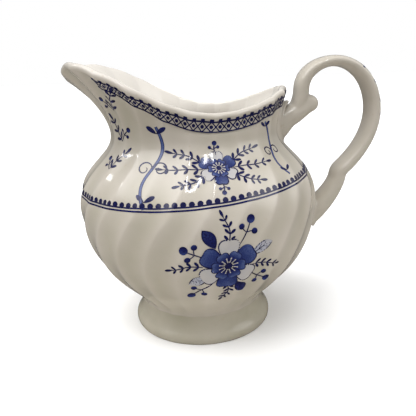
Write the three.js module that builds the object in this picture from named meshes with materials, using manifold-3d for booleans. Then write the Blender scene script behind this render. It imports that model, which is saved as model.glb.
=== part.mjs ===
// Glazed cream jug on a spreading foot, with spiral flutes, a wide pulled spout and a loop handle.
//
// Millimetres, +Z up, +X towards the handle, -X towards the spout. The bowl is modelled around the
// Z axis, and the finished jug is then moved so that the middle of its footprint is the origin.

import * as THREE from 'three';
import { mergeVertices } from 'three/addons/utils/BufferGeometryUtils.js';
import Module from 'manifold-3d';

// ---------------------------------------------------------------------------
// Driving dimensions
// ---------------------------------------------------------------------------

const WALL = 3.2;                 // thickness of the clay wall
const LIP_THICKNESS = 2.9;        // thickness at the rounded lip
const JOINT_GAP = 0.3;            // clearance between touching pieces

const WAIST_RADIUS = 25.7;        // narrowest point under the bowl, where it sits on the foot
const FOOT_HEIGHT = 10.5;
const FOOT_SPREAD = 2.8;          // how far the foot stands out below the waist
const FOOT_EDGE = 2.4;            // height of the rounded edge of the foot
const FOOT_WALL = 4.0;            // thickness of the foot ring
const FOOT_BEARING = 2.6;         // width of the flat ring that stands on the table

const BELLY_RADIUS = 46.6;
const BELLY_HEIGHT = 51;          // height of the widest point
const NECK_RADIUS = 32.2;
const NECK_HEIGHT = 78.5;
const NECK_SHIFT = 0.6;           // how far the neck is drawn towards the spout
const NECK_PINCH = 0.035;         // share by which the neck is narrower from front to back

const RIM_RISE = 8.3;             // lowest point of the rim, above the neck
const RIM_LOW_X = 7.3;            // where the rim is lowest, towards the handle
const BACK_RISE = 15.5;           // rim above the neck, at the handle
const BACK_FLARE = 2.4;           // rim out from the neck, at the handle
const SPOUT_RISE = 25.9;          // rim above the neck, beside the nose of the spout
const SPOUT_FLARE = 15.2;         // rim out from the neck, at the spout
const SPOUT_SPREAD = 64;          // angle over which the spout swells out of the rim, in degrees
const SPOUT_SWELL = 22;           // how far it swells out of the rim's oval
const SPOUT_FALLOFF = 2.33;       // power of the swelling's fall: higher is a flatter, squarer spout
const NOSE_DROP = 4.6;            // how far the nose of the spout dips
const NOSE_SPREAD = 13;           // angle over which it dips, in degrees
const SPOUT_ANGLE = 38;           // slope of the wall at the spout's lip, in degrees
const SIDE_ANGLE = 66;            // slope of the wall at the sides
const BACK_ANGLE = 78;            // slope of the wall at the handle
const BACK_BEGINS = -0.2;         // cosine of the angle where the wall starts to steepen to it

const FLUTES = 24;
const FLUTE_PHASE = -2.3;         // turn of the first ridge from the handle, in degrees
const FLUTE_DEPTH = 0.75;         // on the belly
const FLUTE_DEPTH_NECK = 0.35;
const FLUTE_DEPTH_WAIST = 0.2;
const FULL_FLUTE_SHARE = 0.6;     // share of the belly's height from which flutes are fully deep
const TWIST = 25.5;               // turn of a ridge from neck to foot, in degrees
const TWIST_RISE = 2.5;           // where the ridges lean most, above the widest point
const TWIST_SPAN = 14.5;          // height over which they lean

const HANDLE_RISE = 25.9;         // top of the loop, above the neck
const LOOP_OUT = 24.8;            // farthest point of the loop, out from the belly
const LOOP_OUT_RISE = 4.5;        // height of that point, above the neck
const CROWN_OUT = 20.9;           // crown of the loop, out from the neck
const SPRING_OUT = 8.9;           // where the loop leaves the arm, out from the neck
const SPRING_SHARE = 0.52;        // and how far up between the upper joint and the crown
const UPPER_JOINT_RISE = 1;       // middle of the joint on the neck, above the neck
const LOWER_JOINT_DROP = 8.8;     // middle of the joint on the belly, below the widest point
const KNUCKLE_OUT = 12.9;         // knuckle of the tail, out from the belly's joint
const KNUCKLE_UP = 19.4;          // and up from it
const ELBOW_IN = 1.9;             // elbow under the knuckle, towards the bowl
const ELBOW_DOWN = 2.9;           // and down
const STRAP_WIDTH = 13;
const STRAP_THICKNESS = 4.6;
const ARM_DEPTH = 12.4;           // the arm's height where it meets the neck
const SPUR_RADIUS = 3.3;          // curled thumb spur at the arm's end
const SPUR_WIDTH = 10.5;
const SPUR_OUT = 12;              // middle of the spur, out from the neck
const SPUR_RISE = 8.4;            // and above the neck
const SLIP_THICKNESS = 1.4;       // bed of clay slip between handle and body
const SLIP_MARGIN = 0.9;          // how far the slip stands out around the handle's end

// Fullness of the curves: how far each Bezier handle reaches along its span
const BOWL_RISE_FULLNESS = 0.143; // upright start of the bowl above the waist
const BELLY_FULLNESS = 0.351;     // height share at which the bowl has already reached its width
const SHOULDER_FULLNESS = 0.596;  // how high the shoulder stays upright above the belly
const NECK_FULLNESS = 0.696;      // height share at which the neck has already drawn in
const RIM_START = { side: 0.42, spout: 0.28 };  // upright start of the rim's flare above the neck
const RIM_END = { side: 0.36, spout: 0.27 };    // straight end of the flare at the lip

// Places worked out from them
const FOOT_RADIUS = WAIST_RADIUS + FOOT_SPREAD;
const RIM_LOW = NECK_HEIGHT + RIM_RISE;
const RIM_BACK = NECK_RADIUS - NECK_SHIFT + BACK_FLARE;
const SPOUT_REACH = NECK_RADIUS + NECK_SHIFT + SPOUT_FLARE;
const RIM_HALF_WIDTH = NECK_RADIUS * (1 - NECK_PINCH);
const HANDLE_TOP = NECK_HEIGHT + HANDLE_RISE;
const UPPER_JOINT_HEIGHT = NECK_HEIGHT + UPPER_JOINT_RISE;
const LOWER_JOINT_HEIGHT = BELLY_HEIGHT - LOWER_JOINT_DROP;

// Facets
const COLUMNS_PER_FLUTE = 3;
const BOWL_STEPS = 7;
const SHOULDER_STEPS = 5;
const RIM_STEPS = 6;
const LIP_STEPS = 4;
const FOOT_STEPS = 3;
const COVE_SHARES = [0.97, 0.85]; // rings rounding the wall into the floor, as shares of its radius
const STRAP_STEP = 4;             // length of one facet along the strap
const STRAP_SIDES = 16;

// ---------------------------------------------------------------------------
// Small helpers
// ---------------------------------------------------------------------------

const DEG = Math.PI / 180;
const lerp = THREE.MathUtils.lerp;
const smooth = (x) => x * x * (3 - 2 * x);
const fade = (x, from, to) => smooth(THREE.MathUtils.clamp((x - from) / (to - from), 0, 1));

/** A point of the cubic Bezier curve through four control points. */
function bezier(p0, p1, p2, p3, t) {
  const s = 1 - t;
  return new THREE.Vector3()
    .addScaledVector(p0, s * s * s)
    .addScaledVector(p1, 3 * s * s * t)
    .addScaledVector(p2, 3 * s * t * t)
    .addScaledVector(p3, t * t * t);
}

/** Triangles between rows of points that all run once around, with a point closing each end. */
function closedGrid(rows, firstPole, lastPole) {
  const columns = rows[0].length;
  const points = [firstPole, ...rows.flat(), lastPole];
  const index = [];
  const at = (row, column) => 1 + row * columns + (column % columns);
  const last = points.length - 1;
  for (let column = 0; column < columns; column++) {
    index.push(0, at(0, column + 1), at(0, column));
    index.push(last, at(rows.length - 1, column), at(rows.length - 1, column + 1));
    for (let row = 0; row + 1 < rows.length; row++) {
      const [a, b] = [at(row, column), at(row, column + 1)];
      const [c, d] = [at(row + 1, column), at(row + 1, column + 1)];
      index.push(a, b, d, a, d, c);
    }
  }
  const geometry = new THREE.BufferGeometry().setFromPoints(points);
  geometry.setIndex(index);
  return geometry;
}

// ---------------------------------------------------------------------------
// The jug's outer surface: rings of revolution up to the neck, then a swelling rim
// ---------------------------------------------------------------------------

/** Outline of the bowl, as (radius, height), for t from 0 at the waist over 1 at the belly to 2. */
function bowlOutline(t) {
  const point = (radius, height) => new THREE.Vector3(radius, 0, height);
  if (t <= 1) {
    return bezier(
      point(WAIST_RADIUS, FOOT_HEIGHT),
      point(WAIST_RADIUS, lerp(FOOT_HEIGHT, BELLY_HEIGHT, BOWL_RISE_FULLNESS)),
      point(BELLY_RADIUS, lerp(FOOT_HEIGHT, BELLY_HEIGHT, BELLY_FULLNESS)),
      point(BELLY_RADIUS, BELLY_HEIGHT),
      t,
    );
  }
  return bezier(
    point(BELLY_RADIUS, BELLY_HEIGHT),
    point(BELLY_RADIUS, lerp(BELLY_HEIGHT, NECK_HEIGHT, SHOULDER_FULLNESS)),
    point(NECK_RADIUS, lerp(BELLY_HEIGHT, NECK_HEIGHT, NECK_FULLNESS)),
    point(NECK_RADIUS, NECK_HEIGHT),
    t - 1,
  );
}

/** Radius of the bowl's outline at a height, found by halving. */
function bowlRadius(height) {
  let [low, high] = [0, 2];
  for (let step = 0; step < 30; step++) {
    const middle = (low + high) / 2;
    if (bowlOutline(middle).z < height) low = middle;
    else high = middle;
  }
  return bowlOutline(low).x;
}

/** Angle away from the middle of the spout, in degrees. */
const fromSpout = (angle) => Math.abs(Math.atan2(Math.sin(angle), -Math.cos(angle))) / DEG;

/** How much the rim swells towards the spout at an angle, from 0 to 1. */
const spoutSwell = (angle) => Math.exp(-((fromSpout(angle) / SPOUT_SPREAD) ** SPOUT_FALLOFF));

/** Top of the lip at an angle: an oval with the spout's swelling, highest beside its nose. */
function rimPoint(angle) {
  const [c, s] = [Math.cos(angle), Math.sin(angle)];
  const front = SPOUT_REACH - SPOUT_SWELL;
  const side = RIM_HALF_WIDTH - SPOUT_SWELL * spoutSwell(Math.PI / 2);
  const oval = 1 / Math.hypot(c / (c > 0 ? RIM_BACK : front), s / side);
  const radius = oval + SPOUT_SWELL * spoutSwell(angle);
  const x = radius * c;
  const toSpout = THREE.MathUtils.clamp((RIM_LOW_X - x) / (RIM_LOW_X + SPOUT_REACH), 0, 1);
  const toBack = Math.max(0, (x - RIM_LOW_X) / (RIM_BACK - RIM_LOW_X));
  const height = RIM_LOW
    + (SPOUT_RISE - RIM_RISE) * (1 - Math.cos(Math.PI * toSpout)) / 2
    + (BACK_RISE - RIM_RISE) * toBack ** 2
    - NOSE_DROP * Math.exp(-((fromSpout(angle) / NOSE_SPREAD) ** 2));
  return new THREE.Vector3(x, radius * s, height);
}

/** Smooth outer surface without flutes, for t from 0 at the waist to 3 at the rim. */
function smoothSurface(angle, t) {
  const [c, s] = [Math.cos(angle), Math.sin(angle)];
  const pinched = (radius, height) => {
    const neckShare = fade(height, BELLY_HEIGHT, NECK_HEIGHT);
    const pinch = 1 - NECK_PINCH * neckShare;
    return new THREE.Vector3(radius * c - NECK_SHIFT * neckShare, radius * s * pinch, height);
  };
  if (t <= 2) {
    const outline = bowlOutline(t);
    return pinched(outline.x, outline.z);
  }
  const neck = pinched(NECK_RADIUS, NECK_HEIGHT);
  const rim = rimPoint(angle);
  const outward = new THREE.Vector3(rim.x - neck.x, rim.y - neck.y, 0);
  outward.lerp(new THREE.Vector3(c, s, 0).multiplyScalar(outward.length() + 1), 0.5).normalize();
  const back = fade(c, BACK_BEGINS, 1);
  const spout = spoutSwell(angle);
  const slope = (lerp(lerp(SIDE_ANGLE, BACK_ANGLE, back), SPOUT_ANGLE, spout)) * DEG;
  const along = outward.clone().multiplyScalar(Math.cos(slope)).setZ(Math.sin(slope));
  const facing = outward.clone().multiplyScalar(Math.sin(slope)).setZ(-Math.cos(slope));
  const edge = rim.clone().addScaledVector(along, -LIP_THICKNESS / 2)
    .addScaledVector(facing, LIP_THICKNESS / 2);
  const span = neck.distanceTo(edge);
  return bezier(
    neck,
    neck.clone().setZ(NECK_HEIGHT + span * lerp(RIM_START.side, RIM_START.spout, spout)),
    edge.clone().addScaledVector(along, -span * lerp(RIM_END.side, RIM_END.spout, spout)),
    edge,
    t - 2,
  );
}

/** Turn of the ridges at a height: none at the neck, the full twist at the foot. */
const twist = (height) =>
  -TWIST * DEG / 2 * (1 - Math.tanh((height - BELLY_HEIGHT - TWIST_RISE) / TWIST_SPAN));

/** Depth of the hollow between two ridges at a share of the way around one flute. */
function fluteDepth(share, height) {
  const belly = fade(height, FOOT_HEIGHT, FULL_FLUTE_SHARE * BELLY_HEIGHT);
  const neck = fade(height, BELLY_HEIGHT, NECK_HEIGHT);
  const depth = lerp(lerp(FLUTE_DEPTH_WAIST, FLUTE_DEPTH, belly), FLUTE_DEPTH_NECK, neck);
  const roundedRidge = 0.15;
  return depth * (Math.hypot(Math.sin(Math.PI * share), roundedRidge) - roundedRidge);
}

/** Outward normal of the smooth surface. */
function smoothNormal(angle, t) {
  const step = 1e-3;
  const around = smoothSurface(angle + step, t).sub(smoothSurface(angle - step, t));
  const up = smoothSurface(angle, Math.min(t + step, 3)).sub(smoothSurface(angle, t - step));
  return around.cross(up).normalize();
}

/** One ring of the surface, set in by a depth along the normal, with a share of the flutes. */
function ring(t, inset, fluteShare) {
  const count = FLUTES * COLUMNS_PER_FLUTE;
  return Array.from({ length: count }, (_, column) => {
    const around = column / COLUMNS_PER_FLUTE;
    const level = smoothSurface(0, Math.min(t, 2)).z;
    const angle = (FLUTE_PHASE + around * 360 / FLUTES) * DEG + twist(level);
    const point = smoothSurface(angle, t);
    const depth = inset + fluteShare * fluteDepth(around % 1, point.z);
    return point.addScaledVector(smoothNormal(angle, t), -depth);
  });
}

/** Values from low to high in equal steps, both ends included. */
const steps = (low, high, count) =>
  Array.from({ length: count + 1 }, (_, i) => lerp(low, high, i / count));

/** Levels of the rings, from the waist at 0 over the belly at 1 and the neck at 2 to the rim at 3. */
const LEVELS = [
  ...steps(0, 1, BOWL_STEPS),
  ...steps(1, 2, SHOULDER_STEPS).slice(1),
  ...steps(2, 3, RIM_STEPS).slice(1),
];

/** The whole jug body: bowl, neck and spout as one thin wall, open at the top. */
function bodyGeometry() {
  const outside = LEVELS.map((t) => ring(t, 0, 1));
  const wallAt = (t) => lerp(WALL, LIP_THICKNESS, fade(t, 2, 3));
  const inside = LEVELS.slice(1).reverse().map((t) => ring(t, wallAt(t), 0.5));
  const [outerEdge, innerEdge] = [outside.at(-1), inside[0]];
  const lip = steps(0, 180, LIP_STEPS).slice(1, -1).map((turn) =>
    outerEdge.map((outer, column) => {
      const middle = outer.clone().lerp(innerEdge[column], 0.5);
      const across = outer.clone().sub(middle);
      const angle = (FLUTE_PHASE + column * 360 / outerEdge.length) * DEG + twist(NECK_HEIGHT);
      const rise = smoothSurface(angle, 3).sub(smoothSurface(angle, 2.98)).setLength(across.length());
      return middle.addScaledVector(across, Math.cos(turn * DEG))
        .addScaledVector(rise, Math.sin(turn * DEG));
    }));
  const floorEdge = inside.at(-1)[0];
  const floor = FOOT_HEIGHT + WALL;
  const cove = COVE_SHARES.map((share) => inside.at(-1).map((p) =>
    new THREE.Vector3(p.x * share, p.y * share, lerp(floor, floorEdge.z, share ** 12))));
  const underside = new THREE.Vector3(0, 0, FOOT_HEIGHT);
  return closedGrid([...outside, ...lip, ...inside, ...cove], underside,
    new THREE.Vector3(0, 0, floor));
}

/** The space inside the outer surface, grown by a margin: what cuts the handle's ends. */
function bodyEnvelope(margin) {
  const rings = LEVELS.map((t) => ring(t, -margin, 1));
  return closedGrid(rings, new THREE.Vector3(0, 0, FOOT_HEIGHT),
    new THREE.Vector3(0, 0, NECK_HEIGHT));
}

/** Spreading foot ring, turned around the axis, with a flat bearing ring on the table. */
function footGeometry() {
  const top = FOOT_HEIGHT - JOINT_GAP;
  const inner = WAIST_RADIUS - FOOT_WALL;
  const groundOuter = FOOT_RADIUS - FOOT_EDGE / 3;
  const groundInner = groundOuter - FOOT_BEARING;
  const outline = new THREE.Path();
  outline.moveTo(groundInner, 0);
  outline.lineTo(groundOuter, 0);
  outline.quadraticCurveTo(FOOT_RADIUS, 0, FOOT_RADIUS, FOOT_EDGE / 3);
  outline.lineTo(FOOT_RADIUS, FOOT_EDGE);
  outline.bezierCurveTo(
    lerp(WAIST_RADIUS, FOOT_RADIUS, 0.6), lerp(FOOT_EDGE, top, 0.25),
    WAIST_RADIUS, lerp(FOOT_EDGE, top, 0.55),
    WAIST_RADIUS, top,
  );
  outline.lineTo(inner, top);
  outline.quadraticCurveTo(inner, FOOT_EDGE, groundInner, 0);
  const profile = outline.getPoints(FOOT_STEPS);
  return new THREE.LatheGeometry(profile, FLUTES * 2).rotateX(Math.PI / 2);
}

// ---------------------------------------------------------------------------
// Handle: flat straps carried along lines in the XZ plane
// ---------------------------------------------------------------------------

const flat = (x, z) => new THREE.Vector2(x, z);
const cubic = (...points) => new THREE.CubicBezierCurve(...points);
const BEDDED = WALL * 0.6;        // how far the handle's lines run into the wall before it is cut

// The lines run through the named places; the small offsets beside them place the handles of the
// curves, which only round the bends in between.

/** The short arm from the neck to the spur, as stretches with the section at their ends. */
function armLine() {
  const neck = flat(NECK_RADIUS - BEDDED, UPPER_JOINT_HEIGHT - BEDDED / 2);
  const spur = flat(NECK_RADIUS + SPUR_OUT, NECK_HEIGHT + SPUR_RISE);
  const bend = flat(lerp(neck.x, spur.x, 0.5), lerp(neck.y, spur.y, 0.5));
  return {
    stretches: [
      new THREE.QuadraticBezierCurve(neck, flat(bend.x - 1, bend.y - 0.4), bend),
      new THREE.QuadraticBezierCurve(bend, flat(spur.x - 2, spur.y - 1), spur),
    ],
    sections: [
      { width: STRAP_WIDTH + 1.5, thickness: ARM_DEPTH },
      { width: STRAP_WIDTH - 0.5, thickness: lerp(ARM_DEPTH, 2 * SPUR_RADIUS, 0.75) },
      { width: SPUR_WIDTH, thickness: 2 * SPUR_RADIUS },
    ],
  };
}

/** The loop: up out of the arm, over the crown, down past the knuckle and into the belly. */
function loopLine() {
  const start = flat(NECK_RADIUS + 3, UPPER_JOINT_HEIGHT + 1.5);
  const belly = flat(bowlRadius(LOWER_JOINT_HEIGHT), LOWER_JOINT_HEIGHT);
  const spring = flat(NECK_RADIUS + SPRING_OUT, lerp(UPPER_JOINT_HEIGHT, HANDLE_TOP, SPRING_SHARE));
  const crown = flat(NECK_RADIUS + CROWN_OUT, HANDLE_TOP - STRAP_THICKNESS * 0.45);
  const reach = flat(BELLY_RADIUS + LOOP_OUT - STRAP_THICKNESS / 2, NECK_HEIGHT + LOOP_OUT_RISE);
  const knuckle = flat(belly.x + KNUCKLE_OUT, belly.y + KNUCKLE_UP);
  const elbow = flat(knuckle.x - ELBOW_IN, knuckle.y - ELBOW_DOWN);
  const fall = reach.y - knuckle.y;
  return {
    stretches: [
      cubic(start, flat(spring.x - 3, lerp(start.y, spring.y, 0.2)),
        flat(spring.x, lerp(start.y, spring.y, 0.55)), spring),
      new THREE.EllipseCurve(crown.x, spring.y, crown.x - spring.x, crown.y - spring.y,
        Math.PI, Math.PI / 2, true),
      new THREE.EllipseCurve(crown.x, reach.y, reach.x - crown.x, crown.y - reach.y,
        Math.PI / 2, 0, true),
      cubic(reach, flat(reach.x, reach.y - fall * 0.41),
        flat(knuckle.x + fall * 0.24, knuckle.y + fall * 0.23), knuckle),
      new THREE.QuadraticBezierCurve(knuckle, flat(elbow.x + 0.3, elbow.y + 1.6), elbow),
      cubic(elbow, flat(elbow.x - 0.4, lerp(belly.y, elbow.y, 0.68)),
        flat(belly.x + 4.5, belly.y + 4), belly),
      new THREE.LineCurve(belly, flat(belly.x - BEDDED, belly.y - BEDDED * 0.9)),
    ],
    sections: [
      { width: STRAP_WIDTH - 2, thickness: STRAP_THICKNESS },          // inside the arm
      { width: STRAP_WIDTH - 1, thickness: STRAP_THICKNESS * 1.18 },   // at the spring
      { width: STRAP_WIDTH, thickness: STRAP_THICKNESS * 0.9 },        // crown
      { width: STRAP_WIDTH, thickness: STRAP_THICKNESS },              // farthest out
      { width: STRAP_WIDTH - 1, thickness: STRAP_THICKNESS * 1.2 },    // knuckle
      { width: STRAP_WIDTH - 2, thickness: STRAP_THICKNESS * 1.3 },    // elbow
      { width: STRAP_WIDTH, thickness: STRAP_THICKNESS * 1.75 },       // at the belly
      { width: STRAP_WIDTH + 1, thickness: STRAP_THICKNESS * 2.1 },    // in its wall
    ],
  };
}

/** One rounded section of a strap, square to its heading. */
function strapSection(centre, heading, width, thickness) {
  const squareness = 0.85;
  const rounded = (value) => Math.sign(value) * Math.abs(value) ** squareness;
  return Array.from({ length: STRAP_SIDES }, (_, side) => {
    const turn = side / STRAP_SIDES * 2 * Math.PI;
    const out = thickness / 2 * rounded(Math.cos(turn));
    const across = width / 2 * rounded(Math.sin(turn));
    return new THREE.Vector3(centre.x + heading.y * out, across, centre.y - heading.x * out);
  });
}

/** A strap along some stretches of a line, with its section grown by a margin all round. */
function strapGeometry({ stretches, sections }, margin = 0) {
  const rows = [];
  stretches.forEach((curve, i) => {
    const count = Math.max(2, Math.round(curve.getLength() / STRAP_STEP));
    for (let step = i === 0 ? 0 : 1; step <= count; step++) {
      const share = step / count;
      const width = lerp(sections[i].width, sections[i + 1].width, smooth(share));
      const thickness = lerp(sections[i].thickness, sections[i + 1].thickness, smooth(share));
      rows.push(strapSection(curve.getPointAt(share), curve.getTangentAt(share),
        width + 2 * margin, thickness + 2 * margin));
    }
  });
  const pole = (row) => row.reduce((sum, p) => sum.add(p), new THREE.Vector3())
    .divideScalar(row.length);
  return closedGrid(rows, pole(rows[0]), pole(rows.at(-1)));
}

/** The curled spur at the end of the arm: a round roll lying across the strap. */
function spurGeometry() {
  const half = SPUR_WIDTH / 2;
  const outline = new THREE.Path();
  outline.moveTo(0, -half);
  outline.quadraticCurveTo(SPUR_RADIUS, -half, SPUR_RADIUS, -half * 0.5);
  outline.lineTo(SPUR_RADIUS, half * 0.5);
  outline.quadraticCurveTo(SPUR_RADIUS, half, 0, half);
  const roll = new THREE.LatheGeometry(outline.getPoints(4), STRAP_SIDES);
  return roll.translate(NECK_RADIUS + SPUR_OUT, 0, NECK_HEIGHT + SPUR_RISE);
}

// ---------------------------------------------------------------------------
// Joining and cutting
// ---------------------------------------------------------------------------

const wasm = await Module();
wasm.setup();

/** A closed geometry as a solid that can be joined and cut. */
function solid(geometry) {
  const bare = new THREE.BufferGeometry();
  bare.setAttribute('position', geometry.getAttribute('position'));
  bare.setIndex(geometry.getIndex());
  const merged = mergeVertices(bare, 1e-4);
  return new wasm.Manifold(new wasm.Mesh({
    numProp: 3,
    vertProperties: new Float32Array(merged.getAttribute('position').array),
    triVerts: new Uint32Array(merged.getIndex().array),
  }));
}

/** A solid back as a geometry. */
function geometryOf(shape) {
  const mesh = shape.getMesh();
  const geometry = new THREE.BufferGeometry();
  geometry.setAttribute('position', new THREE.BufferAttribute(mesh.vertProperties, 3));
  geometry.setIndex(new THREE.BufferAttribute(mesh.triVerts, 1));
  return geometry;
}

const gapCutter = solid(bodyEnvelope(JOINT_GAP));
const slipCutter = solid(bodyEnvelope(JOINT_GAP + SLIP_THICKNESS));
const handleCutter = solid(bodyEnvelope(JOINT_GAP + SLIP_THICKNESS + JOINT_GAP));

const arm = armLine();
const loop = loopLine();
const tail = { stretches: loop.stretches.slice(-2), sections: loop.sections.slice(-3) };

const handle = solid(strapGeometry(loop))
  .add(solid(strapGeometry(arm)))
  .add(solid(spurGeometry()))
  .subtract(handleCutter);

/** The bed of slip under one end of the handle, a little wider than the handle's end. */
const slipBed = (line) =>
  solid(strapGeometry(line, SLIP_MARGIN)).intersect(slipCutter).subtract(gapCutter);

// ---------------------------------------------------------------------------
// Scene graph
// ---------------------------------------------------------------------------

const glazedClay = (colour) =>
  new THREE.MeshStandardMaterial({ color: colour, roughness: 0.15, metalness: 0 });

function part(name, geometry, colour) {
  geometry.computeVertexNormals();
  const mesh = new THREE.Mesh(geometry, glazedClay(colour));
  mesh.name = name;
  return mesh;
}

const jug = new THREE.Group();
jug.add(part('jug_body', bodyGeometry(), '#e9e3dc'));
jug.add(part('foot_ring', footGeometry(), '#d9d8cf'));
jug.add(part('handle', geometryOf(handle), '#e6e0d9'));
jug.add(part('upper_slip_joint', geometryOf(slipBed(arm)), '#ddd6ce'));
jug.add(part('lower_slip_joint', geometryOf(slipBed(tail)), '#ddd6ce'));

const box = new THREE.Box3().setFromObject(jug);
const middle = box.getCenter(new THREE.Vector3());
jug.position.set(-middle.x, -middle.y, -box.min.z);
jug.updateMatrixWorld(true);

export default jug;
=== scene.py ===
# %% [markdown]
# # A cream jug with spiral flutes and blue printed flowers
#
# The jug is one thin cast wall of white clay on a foot ring, with a loop handle stuck on with slip,
# all under one clear glaze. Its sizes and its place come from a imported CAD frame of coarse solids.
# This script leaves those solids alone and puts fine surfaces in their place, prints the blue
# pattern on them, and sets up plain studio light.

# %% Load the frame
import math
import bmesh
import bpy
import numpy as np
from mathutils import Matrix, Vector
from mathutils.bvhtree import BVHTree


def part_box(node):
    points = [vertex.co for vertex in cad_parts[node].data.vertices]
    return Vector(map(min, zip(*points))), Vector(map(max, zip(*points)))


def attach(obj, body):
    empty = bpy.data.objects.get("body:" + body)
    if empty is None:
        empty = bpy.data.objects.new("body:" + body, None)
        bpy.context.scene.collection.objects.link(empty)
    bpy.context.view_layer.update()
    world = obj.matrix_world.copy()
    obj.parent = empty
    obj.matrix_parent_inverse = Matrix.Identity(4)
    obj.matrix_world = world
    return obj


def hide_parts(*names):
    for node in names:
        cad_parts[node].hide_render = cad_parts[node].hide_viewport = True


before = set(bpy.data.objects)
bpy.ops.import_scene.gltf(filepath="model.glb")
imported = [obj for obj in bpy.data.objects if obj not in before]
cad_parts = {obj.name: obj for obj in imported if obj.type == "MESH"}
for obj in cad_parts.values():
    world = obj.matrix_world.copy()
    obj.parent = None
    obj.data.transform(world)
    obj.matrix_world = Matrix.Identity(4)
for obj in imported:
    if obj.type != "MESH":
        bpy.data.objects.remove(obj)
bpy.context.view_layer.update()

MM = 0.001


def node_box(name):
    """Lowest and highest corner of a CAD node, in millimetres."""
    low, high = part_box(name)
    return np.array(low) / MM, np.array(high) / MM


foot_low, foot_high = node_box("foot_ring")
body_low, body_high = node_box("jug_body")
_, handle_high = node_box("handle")
AXIS_X = (foot_low[0] + foot_high[0]) / 2
print("the bowl's axis stands at x =", round(AXIS_X, 2), "mm; the body reaches from",
      np.round(body_low, 1), "to", np.round(body_high, 1))

# %% [markdown]
# ## The camera
#
# A jug this small is looked at from close by and a little above its belly, so the spout is almost
# level with the eye and the foot is seen from above. The camera's three axes are worked out from its
# turn, its tilt and a slight lean, and written straight into its matrix.

# %% Camera
LENS_MM, SENSOR_MM = 38.94, 36.0
CAMERA_BACK, CAMERA_HEIGHT = 177.8, 99.7
TURN, TILT, LEAN = np.radians([1.19, 16.78, 2.03])

ahead = np.array([math.sin(TURN) * math.cos(TILT), math.cos(TURN) * math.cos(TILT), -math.sin(TILT)])
level_right = np.array([math.cos(TURN), -math.sin(TURN), 0.0])
straight_up = np.cross(level_right, ahead)
place = np.eye(4)
place[:3, 0] = math.cos(LEAN) * level_right - math.sin(LEAN) * straight_up
place[:3, 1] = math.sin(LEAN) * level_right + math.cos(LEAN) * straight_up
place[:3, 2] = -ahead
place[:3, 3] = np.array([AXIS_X, -CAMERA_BACK, CAMERA_HEIGHT]) * MM

camera_data = bpy.data.cameras.new("camera")
camera_data.lens, camera_data.sensor_width = LENS_MM, SENSOR_MM
camera_data.clip_start = 0.01
camera = bpy.data.objects.new("camera", camera_data)
bpy.context.scene.collection.objects.link(camera)
camera.matrix_world = Matrix(place.tolist())
bpy.context.scene.camera = camera
print("the camera stands", round(float(np.linalg.norm(place[:3, 3])), 3), "m from the origin")

# %% [markdown]
# ## Small tools
#
# Curves are cubic Beziers, and changes from one value to another are smooth steps. Every new piece is
# a grid of points worked out with whole arrays, so one function turns a grid into faces and another
# turns points in millimetres around the bowl's axis into a mesh in the frame's metres.


# %% Curves and grids
def mix(a, b, share):
    """The value a share of the way from a to b."""
    return a + (b - a) * share


def fade(x, low, high):
    """0 below low, 1 above high, and the smooth step 3s^2 - 2s^3 between."""
    share = np.clip((np.asarray(x, float) - low) / (high - low), 0, 1)
    return share * share * (3 - 2 * share)


def unit(v):
    """Each vector divided by its length."""
    return v / np.maximum(np.linalg.norm(v, axis=-1, keepdims=True), 1e-12)


def bezier(points, t):
    """Cubic Bezier: control points weighted by (1-t)^3, 3(1-t)^2 t, 3(1-t)t^2 and t^3."""
    t = np.asarray(t, float)[..., None]
    s = 1 - t
    p0, p1, p2, p3 = (np.asarray(p, float) for p in points)
    return s**3 * p0 + 3 * s * s * t * p1 + 3 * s * t * t * p2 + t**3 * p3


def grid_quads(rows, columns, closed):
    """Corner numbers of the quads of a grid, with its last column joined to its first if closed."""
    r, c = np.meshgrid(np.arange(rows - 1), np.arange(columns if closed else columns - 1),
                       indexing="ij")
    after = (c + 1) % columns
    corners = [r * columns + c, r * columns + after, (r + 1) * columns + after, (r + 1) * columns + c]
    return np.stack(corners, -1).reshape(-1, 4)


def capped_faces(rows, columns):
    """Faces of rows that run once round, closed by one added point at each end."""
    around = np.arange(columns)
    after = (around + 1) % columns
    last = (rows - 1) * columns
    start = np.stack([np.full(columns, rows * columns), after, around], -1)
    end = np.stack([np.full(columns, rows * columns + 1), last + around, last + after], -1)
    return grid_quads(rows, columns, True).tolist() + start.tolist() + end.tolist()


def ring_faces(rows, columns):
    """Faces of rows that run once round, the last row joined to the first."""
    around = np.arange(columns)
    after = (around + 1) % columns
    last = (rows - 1) * columns
    seam = np.stack([last + around, last + after, after, around], -1)
    return np.vstack([grid_quads(rows, columns, True), seam]).tolist()


def make_piece(name, points, faces, **marks):
    """A smooth-shaded mesh object from points in mm around the bowl's axis; marks are vertex values."""
    mesh = bpy.data.meshes.new(name)
    placed = (np.asarray(points, float).reshape(-1, 3) + [AXIS_X, 0, 0]) * MM
    mesh.from_pydata(placed.tolist(), [], faces)
    mesh.polygons.foreach_set("use_smooth", np.ones(len(mesh.polygons), bool))
    for mark, values in marks.items():
        layer = mesh.attributes.new(mark, "FLOAT", "POINT")
        layer.data.foreach_set("value", np.asarray(values, np.float32).ravel())
    mesh.validate()
    piece = bpy.data.objects.new(name, mesh)
    bpy.context.scene.collection.objects.link(piece)
    print(name, "has", len(mesh.vertices), "points and", len(mesh.polygons), "faces")
    return piece


def closed_piece(name, rows, first_pole, last_pole, **marks):
    """A piece whose rows all run once around, closed by a point before the first and after the last."""
    points = np.vstack([rows.reshape(-1, 3), first_pole, last_pole])
    marks = {k: np.append(v.ravel(), [v[0].mean(), v[-1].mean()]) for k, v in marks.items()}
    return make_piece(name, points, capped_faces(*rows.shape[:2]), **marks)


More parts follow.
